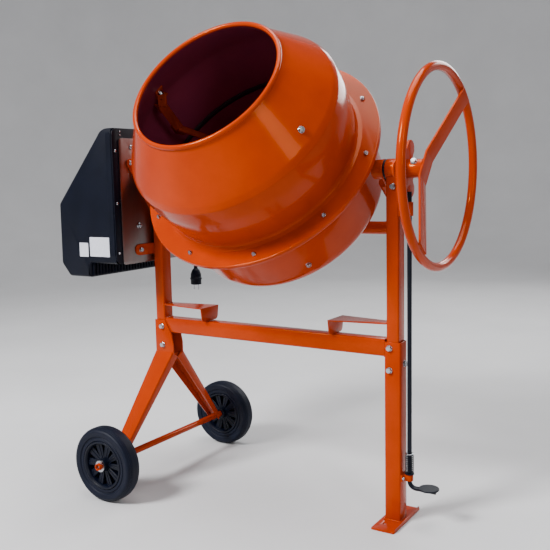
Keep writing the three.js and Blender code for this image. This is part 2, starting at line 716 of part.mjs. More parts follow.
function motorCase() {
  const shell = alongMinusY(extruded(caseOutline(0, PANEL_BACK - GAP), -CASE_HALF_WIDTH, CASE_HALF_WIDTH));
  const roomHalf = CASE_HALF_WIDTH - CASE_WALL;
  const room = alongMinusY(extruded(caseOutline(CASE_WALL, PANEL_BACK + 10), -roomHalf, roomHalf));
  const slotPitch = 22;
  const slots = Array.from({ length: 15 }, (_, i) => {
    const y = (i - 7) * slotPitch;
    return block([CASE_STEP.x - 8, y - 7, 644], [CASE_STEP.x + 8, y + 7, 674]);
  });
  return named("motor_case", cut(shell, [room, ...slots]), blackPlastic);
}

// The flat back of the case, behind the steel plate.
function casePanel() {
  const panel = roundedRectangle(CASE_TOP - CASE_STEP.z, 2 * CASE_HALF_WIDTH, 18, 4);
  const middle = (CASE_TOP + CASE_STEP.z) / 2;
  panel.holes.push(new THREE.Path().absarc(middle - TRUNNION_Z, 0, 14, 0, 2 * Math.PI, true));
  const sheet = alongX(extruded(panel, PANEL_BACK, PANEL_FACE, 20));
  return named("case_panel", sheet.translate(0, 0, middle), blackPlastic);
}

const MOUNT_FACE = -470;

// Carries the motor clear of the belt, on four pillars from the case panel.
function motorMount() {
  const plate = block([MOUNT_FACE - 5, -72, 695], [MOUNT_FACE, 72, 825]);
  const bore = alongX(roundBar(24, MOUNT_FACE - 10, MOUNT_FACE + 5)).translate(0, 0, MOTOR_Z);
  const pillars = [[-62, 708], [62, 708], [-62, 792], [62, 792]].map(([y, z]) =>
    alongX(roundBar(6, MOUNT_FACE - 1, PANEL_BACK - GAP, 0, 12)).translate(0, y, z),
  );
  return named("motor_mount", joined([cut(plate, [bore]), ...pillars]), steelPlate);
}

function motor() {
  const front = MOUNT_FACE - 5 - GAP;
  const outline = [
    [0, -front], [50, -front], [58, -front + 10], [60, -front + 26], [60, -front + 96],
    [58, -front + 100], [58, -front + 138], [50, -front + 148], [0, -front + 148],
  ];
  const body = turned(outline, 32).rotateY(-Math.PI / 2);
  const shaftRoom = alongX(roundBar(7, front - 20, front + 5));
  return named("motor", cut(body, [shaftRoom]).translate(0, 0, MOTOR_Z), motorPaint);
}

function capacitor() {
  const can = roundBar(18, -590, -520, 0, 20);
  return named("capacitor", alongX(can).translate(0, 0, MOTOR_Z).translate(0, 78.6, 0), steelPlate);
}

// The rotor's shaft end with its small grooved pulley.
function motorPulley() {
  const outline = [
    [0, -492], [6, -492], [6, -454], [MOTOR_PULLEY_RADIUS, -454], [MOTOR_PULLEY_RADIUS, -430], [0, -430],
  ];
  return named("motor_pulley", alongX(turned(outline, 20)).translate(0, 0, MOTOR_Z), zinc);
}

function drivePulley() {
  const bore = SHAFT_RADIUS + GAP;
  const rim = DRIVE_PULLEY_RADIUS;
  const outline = [
    [bore, -456], [20, -456], [20, BELT_X - 3], [rim - 12, BELT_X - 3], [rim - 12, BELT_X - 8], [rim, BELT_X - 8],
    [rim, BELT_X + 8], [rim - 12, BELT_X + 8], [rim - 12, BELT_X + 3], [20, BELT_X + 3], [20, -432], [bore, -432],
  ];
  return named("drive_pulley", alongX(turned(outline, 28)).translate(0, 0, TRUNNION_Z), castIron);
}

// The belt's flat loop: arcs round both pulleys, joined by their common tangents.
function belt() {
  const span = TRUNNION_Z - MOTOR_Z;
  const loop = (extra) => {
    const big = DRIVE_PULLEY_RADIUS + extra;
    const small = MOTOR_PULLEY_RADIUS + extra;
    const lean = (Math.asin((big - small) / span) * 180) / Math.PI;
    return [...arc(0, span, big, -lean, 180 + lean, 24), ...arc(0, 0, small, 180 + lean, 360 - lean, 6)];
  };
  const shape = polygon(loop(4));
  shape.holes.push(new THREE.Path(polygon(loop(0.7)).getPoints()));
  const band = extruded(shape, -7, 7);
  band.applyMatrix4(new THREE.Matrix4().set(0, 0, 1, 0, 1, 0, 0, 0, 0, 1, 0, 0, 0, 0, 0, 1));
  return named("drive_belt", band.translate(BELT_X, 0, MOTOR_Z), rubber);
}

function pinionShaft() {
  const inner = DRUM_X - GEAR_FACE_IN + 1.3;
  return named("pinion_shaft", alongX(roundBar(SHAFT_RADIUS, -460, inner, 0, 24)), zinc);
}

function pinion() {
  const tip = PITCH_LEVEL + TOOTH.above;
  const root = PITCH_LEVEL - TOOTH.below;
  const tipAngle = Math.asin((TOOTH.halfWidth - TOOTH.above * TOOTH.slope) / tip);
  const rootAngle = Math.asin((TOOTH.halfWidth + TOOTH.below * TOOTH.slope) / root);
  const corners = Array.from({ length: PINION_TEETH }, (_, i) => {
    const middle = (2 * Math.PI * i) / PINION_TEETH;
    const corner = (radius, angle) => [radius * Math.cos(middle + angle), radius * Math.sin(middle + angle)];
    return [corner(root, -rootAngle), corner(tip, -tipAngle), corner(tip, tipAngle), corner(root, rootAngle)];
  }).flat();
  const shape = polygon(corners);
  shape.holes.push(circlePath(SHAFT_RADIUS + GAP, true));
  const gear = alongX(extruded(shape, -GEAR_FACE_OUT, -GEAR_FACE_IN, 20));
  return named("pinion", gear.translate(DRUM_X, 0, 0), castIron);
}

// ---------------------------------------------------------------- switch and mains lead
const SWITCH = { x: -580, z: 790 };
const CASE_SIDE = CASE_HALF_WIDTH + GAP;

function switchBox() {
  const body = alongMinusY(extruded(roundedRectangle(64, 104, 8), -CASE_SIDE - 24, -CASE_SIDE));
  const wells = [-22, 22].map((z) => block([-13, CASE_SIDE + 12, z - 13], [13, CASE_SIDE + 30, z + 13]));
  return named("switch_box", cut(body, wells).translate(SWITCH.x, 0, SWITCH.z), blackPlastic);
}

function switchButton(name, offset, material) {
  const proud = CASE_SIDE + 27;
  const cap = alongMinusY(extruded(roundedRectangle(25, 25, 5), -proud, -(CASE_SIDE + 16)));
  return named(name, cap.translate(SWITCH.x, 0, SWITCH.z + offset), material);
}

const LEAD = { x: -480, exitY: 213, exitZ: 889.2, radius: 4, bend: 40 };
const PLUG_TOP = 632;

function leadGland() {
  const start = CASE_SIDE;
  const bore = LEAD.radius + 0.2;
  const outline = [
    [bore, start], [14, start], [14, start + 5], [9, start + 7], [7, LEAD.exitY - GAP], [bore, LEAD.exitY - GAP],
  ];
  const sleeve = alongMinusY(turned(outline, 16).scale(1, 1, -1).scale(1, -1, 1));
  return named("lead_gland", sleeve.translate(LEAD.x, 0, LEAD.exitZ), rubber);
}

function mainsLead() {
  const turnY = LEAD.exitY + 20;
  const corner = arc(turnY, LEAD.exitZ - LEAD.bend, LEAD.bend, 90, 0, 8);
  const drop = [820, 790, 760, 730, 700, 665, PLUG_TOP].map((z) => [turnY + LEAD.bend, z]);
  const route = [[LEAD.exitY, LEAD.exitZ], ...corner, ...drop];
  return named("mains_lead", sweptBar(route.map(([y, z]) => [LEAD.x, y, z]), LEAD.radius, 10), rubber);
}

function mainsPlug() {
  const y = LEAD.exitY + 20 + LEAD.bend;
  const top = PLUG_TOP - GAP;
  const face = top - 70;
  const outline = [
    [0, face], [18.5, face], [18.5, face + 16], [20.5, face + 18], [20.5, face + 23], [18.5, face + 25],
    [18, face + 36], [13, face + 50], [7, face + 56], [5.5, top], [0, top],
  ];
  const pins = [-9.5, 9.5].map((x) => roundBar(2.4, face - 19, face + 1, 0, 10).translate(x, 0, 0));
  return named("mains_plug", joined([turned(outline, 20), ...pins]).translate(LEAD.x, y, 0), blackPlastic);
}

// ---------------------------------------------------------------- assembly
const leaning = new THREE.Group();
leaning.position.set(0, 0, TRUNNION_Z);
leaning.rotation.x = radians(DRUM_LEAN_DEG);
leaning.add(yoke(), pinionShaft(), pinion());

const drum = new THREE.Group();
drum.position.set(DRUM_X, 0, 0);
drum.add(
  drumStub(),
  drumUpper(),
  drumGasket(),
  drumLower(),
  drumFloor(),
  ringGear(),
  mixingBlade("mixing_blade_left", 0),
  mixingBlade("mixing_blade_right", 180),
  drumHub(),
  drumBearing("drum_bearing_upper", -180),
  drumBearing("drum_bearing_lower", -236),
);
leaning.add(drum);

const mixer = new THREE.Group();
mixer.position.set(-CENTRE_X, -CENTRE_Y, 0);
mixer.add(
  upright("upright_left", -UPRIGHT_X, 396),
  upright("upright_right", UPRIGHT_X, 380),
  crossBeam(),
  supportLeg(),
  footPlate(),
  sideRest("side_rest_left", -1),
  sideRest("side_rest_right", 1),
  bearingHousing("bearing_housing_left", -1),
  bearingHousing("bearing_housing_right", 1),
  trunnionBush("trunnion_bush_left", -1),
  trunnionBush("trunnion_bush_right", 1),
  standLeg("stand_leg_front", -1),
  standLeg("stand_leg_rear", 1),
  standSpacer(),
  axle(),
  wheelRim("wheel_rim_front", -1),
  wheelRim("wheel_rim_rear", 1),
  tyre("tyre_front", -1),
  tyre("tyre_rear", 1),
  leaning,
  handwheelRim(),
  handwheelSpokes(),
  handwheelHub(),
  lockDisc(),
  lockRod(),
  rodGuide("rod_guide_lower", UPRIGHT_X + LEG_SIZE / 2 + GAP, 117, 134),
  rodGuide("rod_guide_upper", UPRIGHT_X + UPRIGHT_WIDTH / 2 + GAP, 822, 858),
  springSeat(),
  lockSpring(),
  springWasher(),
  motorStrap(),
  motorArms(),
  drivePlate(),
  motorCase(),
  casePanel(),
  motorMount(),
  motor(),
  capacitor(),
  motorPulley(),
  drivePulley(),
  belt(),
  switchBox(),
  switchButton("start_button", 22, greenPlastic),
  switchButton("stop_button", -22, redPlastic),
  leadGland(),
  mainsLead(),
  mainsPlug(),
);

const part = new THREE.Group();
part.add(mixer);
export default part;
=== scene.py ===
"""Looks for the tilting-drum concrete mixer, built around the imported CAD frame.

Lengths in the tables below are millimetres in the working frame of the part: x = 0 midway between the
uprights, y = 0 in their plane, z = 0 on the ground. Matrices take them to metres in the shared frame.
"""

import json
import math
import random

import bmesh
import bpy
from mathutils import Matrix, Vector


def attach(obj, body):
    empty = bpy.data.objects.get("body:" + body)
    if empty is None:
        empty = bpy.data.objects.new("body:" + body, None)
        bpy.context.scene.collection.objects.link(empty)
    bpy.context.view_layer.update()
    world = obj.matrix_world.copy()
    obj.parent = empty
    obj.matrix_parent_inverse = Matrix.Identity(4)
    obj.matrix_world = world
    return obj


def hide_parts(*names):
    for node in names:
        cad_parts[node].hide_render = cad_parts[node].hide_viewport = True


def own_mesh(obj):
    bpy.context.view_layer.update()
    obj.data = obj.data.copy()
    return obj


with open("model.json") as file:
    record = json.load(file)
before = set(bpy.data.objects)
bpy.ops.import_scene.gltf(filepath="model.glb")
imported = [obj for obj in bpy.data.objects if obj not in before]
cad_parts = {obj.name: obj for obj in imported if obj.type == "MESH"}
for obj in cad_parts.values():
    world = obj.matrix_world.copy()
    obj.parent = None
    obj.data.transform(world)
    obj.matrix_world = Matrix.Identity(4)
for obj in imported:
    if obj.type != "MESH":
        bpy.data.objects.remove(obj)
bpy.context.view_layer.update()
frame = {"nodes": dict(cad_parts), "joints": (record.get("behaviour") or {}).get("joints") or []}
random.seed(7)

# ---------------------------------------------------------------- frames, from the record
JOINTS = {joint["name"]: joint for joint in frame["joints"]}
TILT = Vector(JOINTS["drum_tilt"]["pos_m"])  # middle of the trunnion axis
SPIN_AXIS = Vector(JOINTS["drum_spin"]["axis"])
GROUND = Vector((TILT.x, TILT.y, 0))
TILT_Z = TILT.z * 1000
DRUM_X = (JOINTS["drum_spin"]["pos_m"][0] - TILT.x) * 1000
LEAN = math.atan2(-SPIN_AXIS.y, SPIN_AXIS.z)

MM = Matrix.Scale(0.001, 4)
STANDING = Matrix.Translation(GROUND) @ MM
LEANING = Matrix.Translation(TILT) @ Matrix.Rotation(LEAN, 4, "X") @ MM
DRUM = LEANING @ Matrix.Translation((DRUM_X, 0, 0))


def at(x, y, z):
    """A point of the standing frame, in metres."""
    return STANDING @ Vector((x, y, z))


def facing(origin, normal):
    """A matrix whose +Z runs along normal from origin, with its own Y as near up as can be."""
    z = Vector(normal).normalized()
    x = Vector((0, 0, 1)).cross(z)
    if x.length < 1e-6:
        x = Vector((1, 0, 0))
    x.normalize()
    turn = Matrix((x, z.cross(x), z)).transposed().to_4x4()
    return Matrix.Translation(origin) @ turn


def axle_frame(x, y, z, direction=(1, 0, 0)):
    """The standing frame moved to a point, with +Z turned to run along direction."""
    return STANDING @ facing((x, y, z), direction)


# ---------------------------------------------------------------- camera
CAMERA_PLACE = (1227.75, -1891.19, 926.61)
CAMERA_YAW = 32.51
CAMERA_PITCH = 7.04
CAMERA_ROLL = -1.22

camera_data = bpy.data.cameras.new("camera")
camera_data.lens = 51.62
camera_data.sensor_width = 36
camera = bpy.data.objects.new("camera", camera_data)
bpy.context.scene.collection.objects.link(camera)
camera.matrix_world = (
    Matrix.Translation(at(*CAMERA_PLACE))
    @ Matrix.Rotation(math.radians(CAMERA_YAW), 4, "Z")
    @ Matrix.Rotation(math.radians(90 - CAMERA_PITCH), 4, "X")
    @ Matrix.Rotation(math.radians(CAMERA_ROLL), 4, "Z")
)
bpy.context.scene.camera = camera

# ---------------------------------------------------------------- mains lead
LEAD = {"x": -480, "exit_y": 213, "exit_z": 889.2, "turn_y": 233, "radius": 4, "bend": 40, "plug_top": 632}


def lead_route():
    """Straight out of the gland, over one bend and straight down to the plug, in metres."""
    bend, turn_y, turn_z = LEAD["bend"], LEAD["turn_y"], LEAD["exit_z"] - LEAD["bend"]
    route = [(LEAD["exit_y"], LEAD["exit_z"])]
    for step in range(9):
        angle = math.radians(90 - 90 * step / 8)
        route.append((turn_y + bend * math.cos(angle), turn_z + bend * math.sin(angle)))
    for z in (820, 790, 760, 730, 700, 665, LEAD["plug_top"]):
        route.append((turn_y + bend, z))
    return [at(LEAD["x"], y, z) for y, z in route]


def make_lead():
    curve = bpy.data.curves.new("mains_lead_flex", "CURVE")
    curve.dimensions = "3D"
    curve.bevel_depth = LEAD["radius"] / 1000
    curve.bevel_resolution = 6
    curve.use_fill_caps = True
    points = lead_route()
    spline = curve.splines.new("POLY")
    spline.points.add(len(points) - 1)
    for point, place in zip(spline.points, points):
        point.co = (*place, 1)
    spline.use_smooth = True
    flex = bpy.data.objects.new("mains_lead_flex", curve)
    bpy.context.scene.collection.objects.link(flex)
    return flex


lead = make_lead()


# ---------------------------------------------------------------- materials
def new_material(name):
    material = bpy.data.materials.new(name)
    material.use_nodes = True
    return material, material.node_tree.nodes, material.node_tree.links


def surface(
    name,
    light,
    dark,
    scale,
    roughness=(0.3, 0.4),
    metallic=0.0,
    coat=0.0,
    coat_roughness=0.05,
    bump=0.0,
    bump_scale=400,
    stretch=(1, 1, 1),
    specular=0.5,
    tint=(1, 1, 1),
):
    """A two-tone procedural surface: broad noise for colour, the same for roughness, fine noise for bump."""
    material, nodes, links = new_material(name)
    shader = nodes["Principled BSDF"]
    shader.inputs["Metallic"].default_value = metallic
    shader.inputs["Coat Weight"].default_value = coat
    shader.inputs["Coat Roughness"].default_value = coat_roughness
    shader.inputs["Specular IOR Level"].default_value = specular
    shader.inputs["Specular Tint"].default_value = (*tint, 1)

    place = nodes.new("ShaderNodeTexCoord")
    mapping = nodes.new("ShaderNodeMapping")
    mapping.inputs["Scale"].default_value = stretch
    links.new(place.outputs["Object"], mapping.inputs["Vector"])

    broad = nodes.new("ShaderNodeTexNoise")
    broad.inputs["Scale"].default_value = scale
    broad.inputs["Detail"].default_value = 6
    broad.inputs["Roughness"].default_value = 0.6
    links.new(mapping.outputs["Vector"], broad.inputs["Vector"])

    tones = nodes.new("ShaderNodeValToRGB")
    tones.color_ramp.elements[0].position = 0.35
    tones.color_ramp.elements[0].color = (*dark, 1)
    tones.color_ramp.elements[1].position = 0.68
    tones.color_ramp.elements[1].color = (*light, 1)
    links.new(broad.outputs["Fac"], tones.inputs["Fac"])
    links.new(tones.outputs["Color"], shader.inputs["Base Color"])

    gloss = nodes.new("ShaderNodeMapRange")
    gloss.inputs["To Min"].default_value = roughness[0]
    gloss.inputs["To Max"].default_value = roughness[1]
    links.new(broad.outputs["Fac"], gloss.inputs["Value"])
    links.new(gloss.outputs["Result"], shader.inputs["Roughness"])

    if bump > 0:
        fine = nodes.new("ShaderNodeTexNoise")
        fine.inputs["Scale"].default_value = bump_scale
        fine.inputs["Detail"].default_value = 3
        links.new(mapping.outputs["Vector"], fine.inputs["Vector"])
        relief = nodes.new("ShaderNodeBump")
        relief.inputs["Strength"].default_value = bump
        relief.inputs["Distance"].default_value = 0.001
        links.new(fine.outputs["Fac"], relief.inputs["Height"])
        links.new(relief.outputs["Normal"], shader.inputs["Normal"])
    return material


PAINT = surface(
    "orange_enamel", (0.39, 0.031, 0.0), (0.31, 0.022, 0.0), 5, (0.12, 0.20), coat=0.05,
    coat_roughness=0.03, bump=0.04, bump_scale=160, specular=0.28, tint=(1.0, 0.32, 0.04),
)
# Paint of the mixing blades: orange whose dark tone runs deeper than the drum's enamel, as painted shade for
# blades inside the unlit drum.
BLADE_PAINT = surface(
    "blade_paint_with_painted_shade", (0.42, 0.038, 0.0), (0.26, 0.024, 0.001), 22, (0.3, 0.5), bump=0.2, bump_scale=300,
    specular=0.3, tint=(1.0, 0.5, 0.25),
)
# Inside of the drum: the same orange enamel as outside, given a dark maroon colour as painted shade.
DRUM_INSIDE_SHADED = surface(
    "drum_inside_painted_shade", (0.205, 0.027, 0.056), (0.150, 0.019, 0.048), 5, (0.3, 0.42), coat=0.06,
    coat_roughness=0.12, bump=0.06, bump_scale=160, specular=0.3, tint=(1.0, 0.45, 0.35),
)
BLACK_PLASTIC = surface(
    "moulded_black_plastic", (0.0016, 0.0030, 0.0095), (0.0010, 0.0020, 0.0065), 14, (0.40, 0.52), bump=0.2,
    bump_scale=1400, specular=0.13,
)
WHEEL_PLASTIC = surface(
    "wheel_black_plastic", (0.0018, 0.0034, 0.0110), (0.0011, 0.0021, 0.0072), 30, (0.34, 0.46), bump=0.12,
    bump_scale=900, specular=0.18,
)
RUBBER = surface(
    "tyre_rubber", (0.0022, 0.0044, 0.0150), (0.0013, 0.0028, 0.0100), 22, (0.44, 0.60), bump=0.25,
    bump_scale=1100, specular=0.18,
)
SEAL_RUBBER = surface("seal_rubber", (0.006, 0.006, 0.007), (0.003, 0.003, 0.004), 30, (0.5, 0.7), bump=0.2)
ZINC = surface(
    "bright_zinc", (0.46, 0.47, 0.49), (0.34, 0.36, 0.39), 60, (0.14, 0.24), metallic=1.0, bump=0.02,
    bump_scale=900,
)
CAST = surface(
    "cast_iron", (0.075, 0.068, 0.062), (0.035, 0.033, 0.032), 60, (0.45, 0.65), metallic=0.8, bump=0.5,
    bump_scale=600,
)
BLACK_STEEL = surface(
    "black_coated_steel", (0.0022, 0.0042, 0.0110), (0.0014, 0.0027, 0.0072), 25, (0.32, 0.46), bump=0.12,
    bump_scale=500, specular=0.18,
)
STEEL_PLATE = surface(
    "rolled_steel_plate", (0.25, 0.21, 0.20), (0.16, 0.135, 0.13), 6, (0.24, 0.36), metallic=1.0, bump=0.10,
    bump_scale=260, stretch=(1, 1, 0.08),
)
MOTOR_PAINT = surface("motor_grey_paint", (0.20, 0.22, 0.24), (0.15, 0.165, 0.18), 12, (0.4, 0.55), bump=0.1)
GREEN = surface("green_button_plastic", (0.02, 0.25, 0.06), (0.015, 0.2, 0.05), 40, (0.3, 0.42), bump=0.05)
RED = surface("red_button_plastic", (0.42, 0.015, 0.012), (0.33, 0.012, 0.01), 40, (0.3, 0.42), bump=0.05)
LABEL = surface("blank_label_film", (0.62, 0.63, 0.70), (0.55, 0.56, 0.64), 120, (0.3, 0.4), bump=0.02)
LEAD_PLASTIC = surface(
    "lead_black_sheath", (0.004, 0.005, 0.009), (0.0025, 0.003, 0.006), 60, (0.4, 0.5), bump=0.1,
    specular=0.3,
)
SLOTS = {
    "orange_paint": PAINT,
    "black_plastic": BLACK_PLASTIC,
    "black_rubber": SEAL_RUBBER,
    "zinc": ZINC,
    "cast": CAST,
    "black_steel": BLACK_STEEL,
    "steel_plate": STEEL_PLATE,
    "motor_paint": MOTOR_PAINT,
    "green_plastic": GREEN,
    "red_plastic": RED,
    "tyre": RUBBER,
}


# ---------------------------------------------------------------- CAD nodes that stay: edges, shading
def smoothing_group():
    """A modifier group: smooth faces, with edges sharper than 32 degrees kept crisp."""
    group = bpy.data.node_groups.new("crisp_edges", "GeometryNodeTree")
    group.interface.new_socket("Geometry", in_out="INPUT", socket_type="NodeSocketGeometry")
    group.interface.new_socket("Geometry", in_out="OUTPUT", socket_type="NodeSocketGeometry")
    nodes, links = group.nodes, group.links
    start = nodes.new("NodeGroupInput")
    end = nodes.new("NodeGroupOutput")
    forget = nodes.new("GeometryNodeRemoveAttribute")
    forget.inputs["Name"].default_value = "custom_normal"
    faces = nodes.new("GeometryNodeSetShadeSmooth")
    edges = nodes.new("GeometryNodeSetShadeSmooth")
    edges.domain = "EDGE"
    edges.inputs["Shade Smooth"].default_value = False
    angle = nodes.new("GeometryNodeInputMeshEdgeAngle")
    sharp = nodes.new("FunctionNodeCompare")
    sharp.operation = "GREATER_THAN"
    sharp.inputs["B"].default_value = math.radians(32)
    links.new(angle.outputs["Unsigned Angle"], sharp.inputs["A"])
    links.new(start.outputs[0], forget.inputs["Geometry"])
    links.new(forget.outputs["Geometry"], faces.inputs["Geometry"])
    links.new(faces.outputs["Geometry"], edges.inputs["Geometry"])
    links.new(sharp.outputs["Result"], edges.inputs["Selection"])
    links.new(edges.outputs["Geometry"], end.inputs[0])
    return group


CRISP = smoothing_group()
UNBEVELLED = {"ring_gear", "drive_belt", "pinion", "start_button", "stop_button", "mains_plug"}


def finish_cad_node(node, name):
    slot_name = node.data.materials[0].name.split(".")[0]
    # Mixing blades take the orange with its darker tone as painted shade.
    node.data.materials[0] = BLADE_PAINT if name.startswith("mixing_blade") else SLOTS[slot_name]
    weld = node.modifiers.new("weld", "WELD")
    weld.merge_threshold = 1e-5
    if name not in UNBEVELLED:
        bevel = node.modifiers.new("edge_round", "BEVEL")
        bevel.width = 0.0008
        bevel.segments = 2
        bevel.limit_method = "ANGLE"
        bevel.angle_limit = math.radians(40)
    crisp = node.modifiers.new("crisp", "NODES")
    crisp.node_group = CRISP


for node_name, node_object in frame["nodes"].items():
    finish_cad_node(node_object, node_name)


# ---------------------------------------------------------------- mesh helpers
def piece(name, vertices, faces, material, body, matrix, inner=None, inner_material=None):
    """A smooth-shaded mesh object that rides on a body; faces listed in inner take the second material."""
    mesh = bpy.data.meshes.new(name)
    mesh.from_pydata([tuple(v) for v in vertices], [], faces)
    mesh.transform(matrix)
    mesh.materials.append(material)
    if inner_material is not None:
        mesh.materials.append(inner_material)
        for index in inner:
            mesh.polygons[index].material_index = 1
    tidy = bmesh.new()
    tidy.from_mesh(mesh)
    bmesh.ops.remove_doubles(tidy, verts=tidy.verts, dist=1e-6)
    bmesh.ops.recalc_face_normals(tidy, faces=tidy.faces)
    tidy.to_mesh(mesh)
    tidy.free()
    return mesh_object(name, mesh, body)


def mesh_object(name, mesh, body):
    mesh.polygons.foreach_set("use_smooth", [True] * len(mesh.polygons))
    mesh.set_sharp_from_angle(angle=math.radians(38))
    made = bpy.data.objects.new(name, mesh)
    bpy.context.scene.collection.objects.link(made)
    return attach(made, body)


def merged(name, parts):
    """Several pieces of one body as one object, with their materials kept."""
    first = parts[0]
    with bpy.context.temp_override(active_object=first, selected_editable_objects=parts):
        bpy.ops.object.join()
    first.name = name
    first.data.name = name
    return first


def filleted(points, steps):
    """A polyline whose corners given as (x, y, radius) are rounded; its two ends stay where they are."""
    result = [tuple(points[0][:2])]
    for before, corner, after in zip(points, points[1:], points[2:]):
        here = Vector(corner[:2])
        if len(corner) < 3:
            result.append(tuple(here))
            continue
        back = Vector(before[:2]) - here
        ahead = Vector(after[:2]) - here
        half = back.angle(ahead) / 2
        reach = min(corner[2] / math.tan(half), 0.48 * back.length, 0.48 * ahead.length)
        start = here + back.normalized() * reach
        end = here + ahead.normalized() * reach
        for step in range(steps + 1):
            t = step / steps
            result.append(tuple(start * (1 - t) ** 2 + here * 2 * t * (1 - t) + end * t * t))
    result.append(tuple(points[-1][:2]))
    return result


def rounded_loop(points, radius):
    """A closed outline with all its corners rounded by one radius."""
    ring = [(x, y, radius) for x, y in points]
    return filleted([ring[-1], *ring, ring[0]], 4)[1:-1]


def arc(x, y, radius, start, end, steps):
    angles = [math.radians(start + (end - start) * i / steps) for i in range(steps + 1)]
    return [(x + radius * math.cos(a), y + radius * math.sin(a)) for a in angles]


def lathe(profile, segments, closed=True):
    """Vertices and faces of a profile of (radius, z) turned about Z."""
    vertices = []
    for radius, z in profile:
        for i in range(segments):
            angle = 2 * math.pi * i / segments
            vertices.append((radius * math.cos(angle), radius * math.sin(angle), z))
    faces = []
    spans = len(profile) if closed else len(profile) - 1
    for k in range(spans):
        low = k * segments
        high = ((k + 1) % len(profile)) * segments
        for i in range(segments):
            j = (i + 1) % segments
            faces.append((low + i, low + j, high + j, high + i))
    return vertices, faces


def turned(name, profile, material, body, matrix, segments):
    return piece(name, *lathe(profile, segments), material, body, matrix)


def sweep(points, radius, sides):
    """Vertices and faces of a round bar along points, its section carried without twist."""
    places = [Vector(p) for p in points]
    last = len(places) - 1
    vertices = []
    normal = None
    for i, place in enumerate(places):
        before = places[max(i - 1, 0)]
        after = places[min(i + 1, last)]
        tangent = (after - before).normalized()
        if normal is None:
            normal = tangent.orthogonal().normalized()
        normal = (normal - tangent * normal.dot(tangent)).normalized()
        side = tangent.cross(normal)
        for k in range(sides):
            angle = 2 * math.pi * k / sides
            vertices.append(place + (normal * math.cos(angle) + side * math.sin(angle)) * radius)
    faces = []
    for i in range(last):
        low, high = i * sides, (i + 1) * sides
        for k in range(sides):
            m = (k + 1) % sides
            faces.append((low + k, low + m, high + m, high + k))
    faces.append(tuple(range(sides)))
    faces.append(tuple(range(len(vertices) - sides, len(vertices))))
    return vertices, faces


def swept(name, points, radius, material, body, matrix, sides):
    return piece(name, *sweep(points, radius, sides), material, body, matrix)


def plate(name, outline, thickness, material, body, matrix, edge):
    """A flat sheet with rounded edges, its outline in its own XY and its middle at z = 0."""
    curve = bpy.data.curves.new(name, "CURVE")
    curve.dimensions = "2D"
    curve.fill_mode = "BOTH"
    curve.extrude = thickness / 2 - edge
    curve.bevel_depth = edge
    curve.bevel_resolution = 2
    spline = curve.splines.new("POLY")
    spline.points.add(len(outline) - 1)
    spline.use_cyclic_u = True
    for point, (x, y) in zip(spline.points, outline):
        point.co = (x, y, 0, 1)
    flat = bpy.data.objects.new(name, curve)
    bpy.context.scene.collection.objects.link(flat)
    bpy.context.view_layer.update()
    mesh = bpy.data.meshes.new_from_object(flat.evaluated_get(bpy.context.evaluated_depsgraph_get()))
    bpy.data.objects.remove(flat)
    bpy.data.curves.remove(curve)
    mesh.transform(matrix)
    mesh.materials.clear()
    mesh.materials.append(material)
    return mesh_object(name, mesh, body)


def circle(radius, steps):
    return arc(0, 0, radius, 0, 360 * (steps - 1) / steps, steps - 1)


def box_outline(width, height, radius):
    right, top = width / 2, height / 2
    return rounded_loop([(-right, -top), (right, -top), (right, top), (-right, top)], radius)


# ---------------------------------------------------------------- fasteners
HEAD_POINTS = 24
WASHER_TOP = 1.6
fastener_meshes = {}


def ring_stack(rings):
    """Vertices and faces of rings (sides, radius, z) with one count of sides, joined and capped."""
    vertices, faces, starts = [], [], []
    for sides, radius, z in rings:
        starts.append(len(vertices))
        for i in range(sides):
            angle = 2 * math.pi * i / sides
            vertices.append((radius * math.cos(angle), radius * math.sin(angle), z))
    for k in range(len(rings) - 1):
        sides = rings[k][0]
        for i in range(sides):
            j = (i + 1) % sides
            low, high = starts[k], starts[k + 1]
            faces.append((low + i, low + j, high + j, high + i))
    faces.append(tuple(range(rings[0][0])))
    faces.append(tuple(range(starts[-1], starts[-1] + rings[-1][0])))
    return vertices, faces


def hexagon_head(flats, thickness):
    """A hexagon with its top corners turned away, as on a real bolt head."""
    vertices, faces = [], []
    corner = flats / math.sqrt(3)
    levels = [(0, 0), (thickness - corner * 0.16, 0), (thickness, 1)]
    for z, trimmed in levels:
        for i in range(HEAD_POINTS):
            angle = 2 * math.pi * i / HEAD_POINTS
            offset = angle % (math.pi / 3) - math.pi / 6
            reach = flats / 2 / math.cos(offset)
            if trimmed:
                reach = min(reach, flats / 2) * 0.94
            vertices.append((reach * math.cos(angle), reach * math.sin(angle), z))
    for k in range(len(levels) - 1):
        low, high = HEAD_POINTS * k, HEAD_POINTS * (k + 1)
        for i in range(HEAD_POINTS):
            j = (i + 1) % HEAD_POINTS
            faces.append((low + i, low + j, high + j, high + i))
    faces.append(tuple(range(len(vertices) - HEAD_POINTS, len(vertices))))
    return vertices, faces


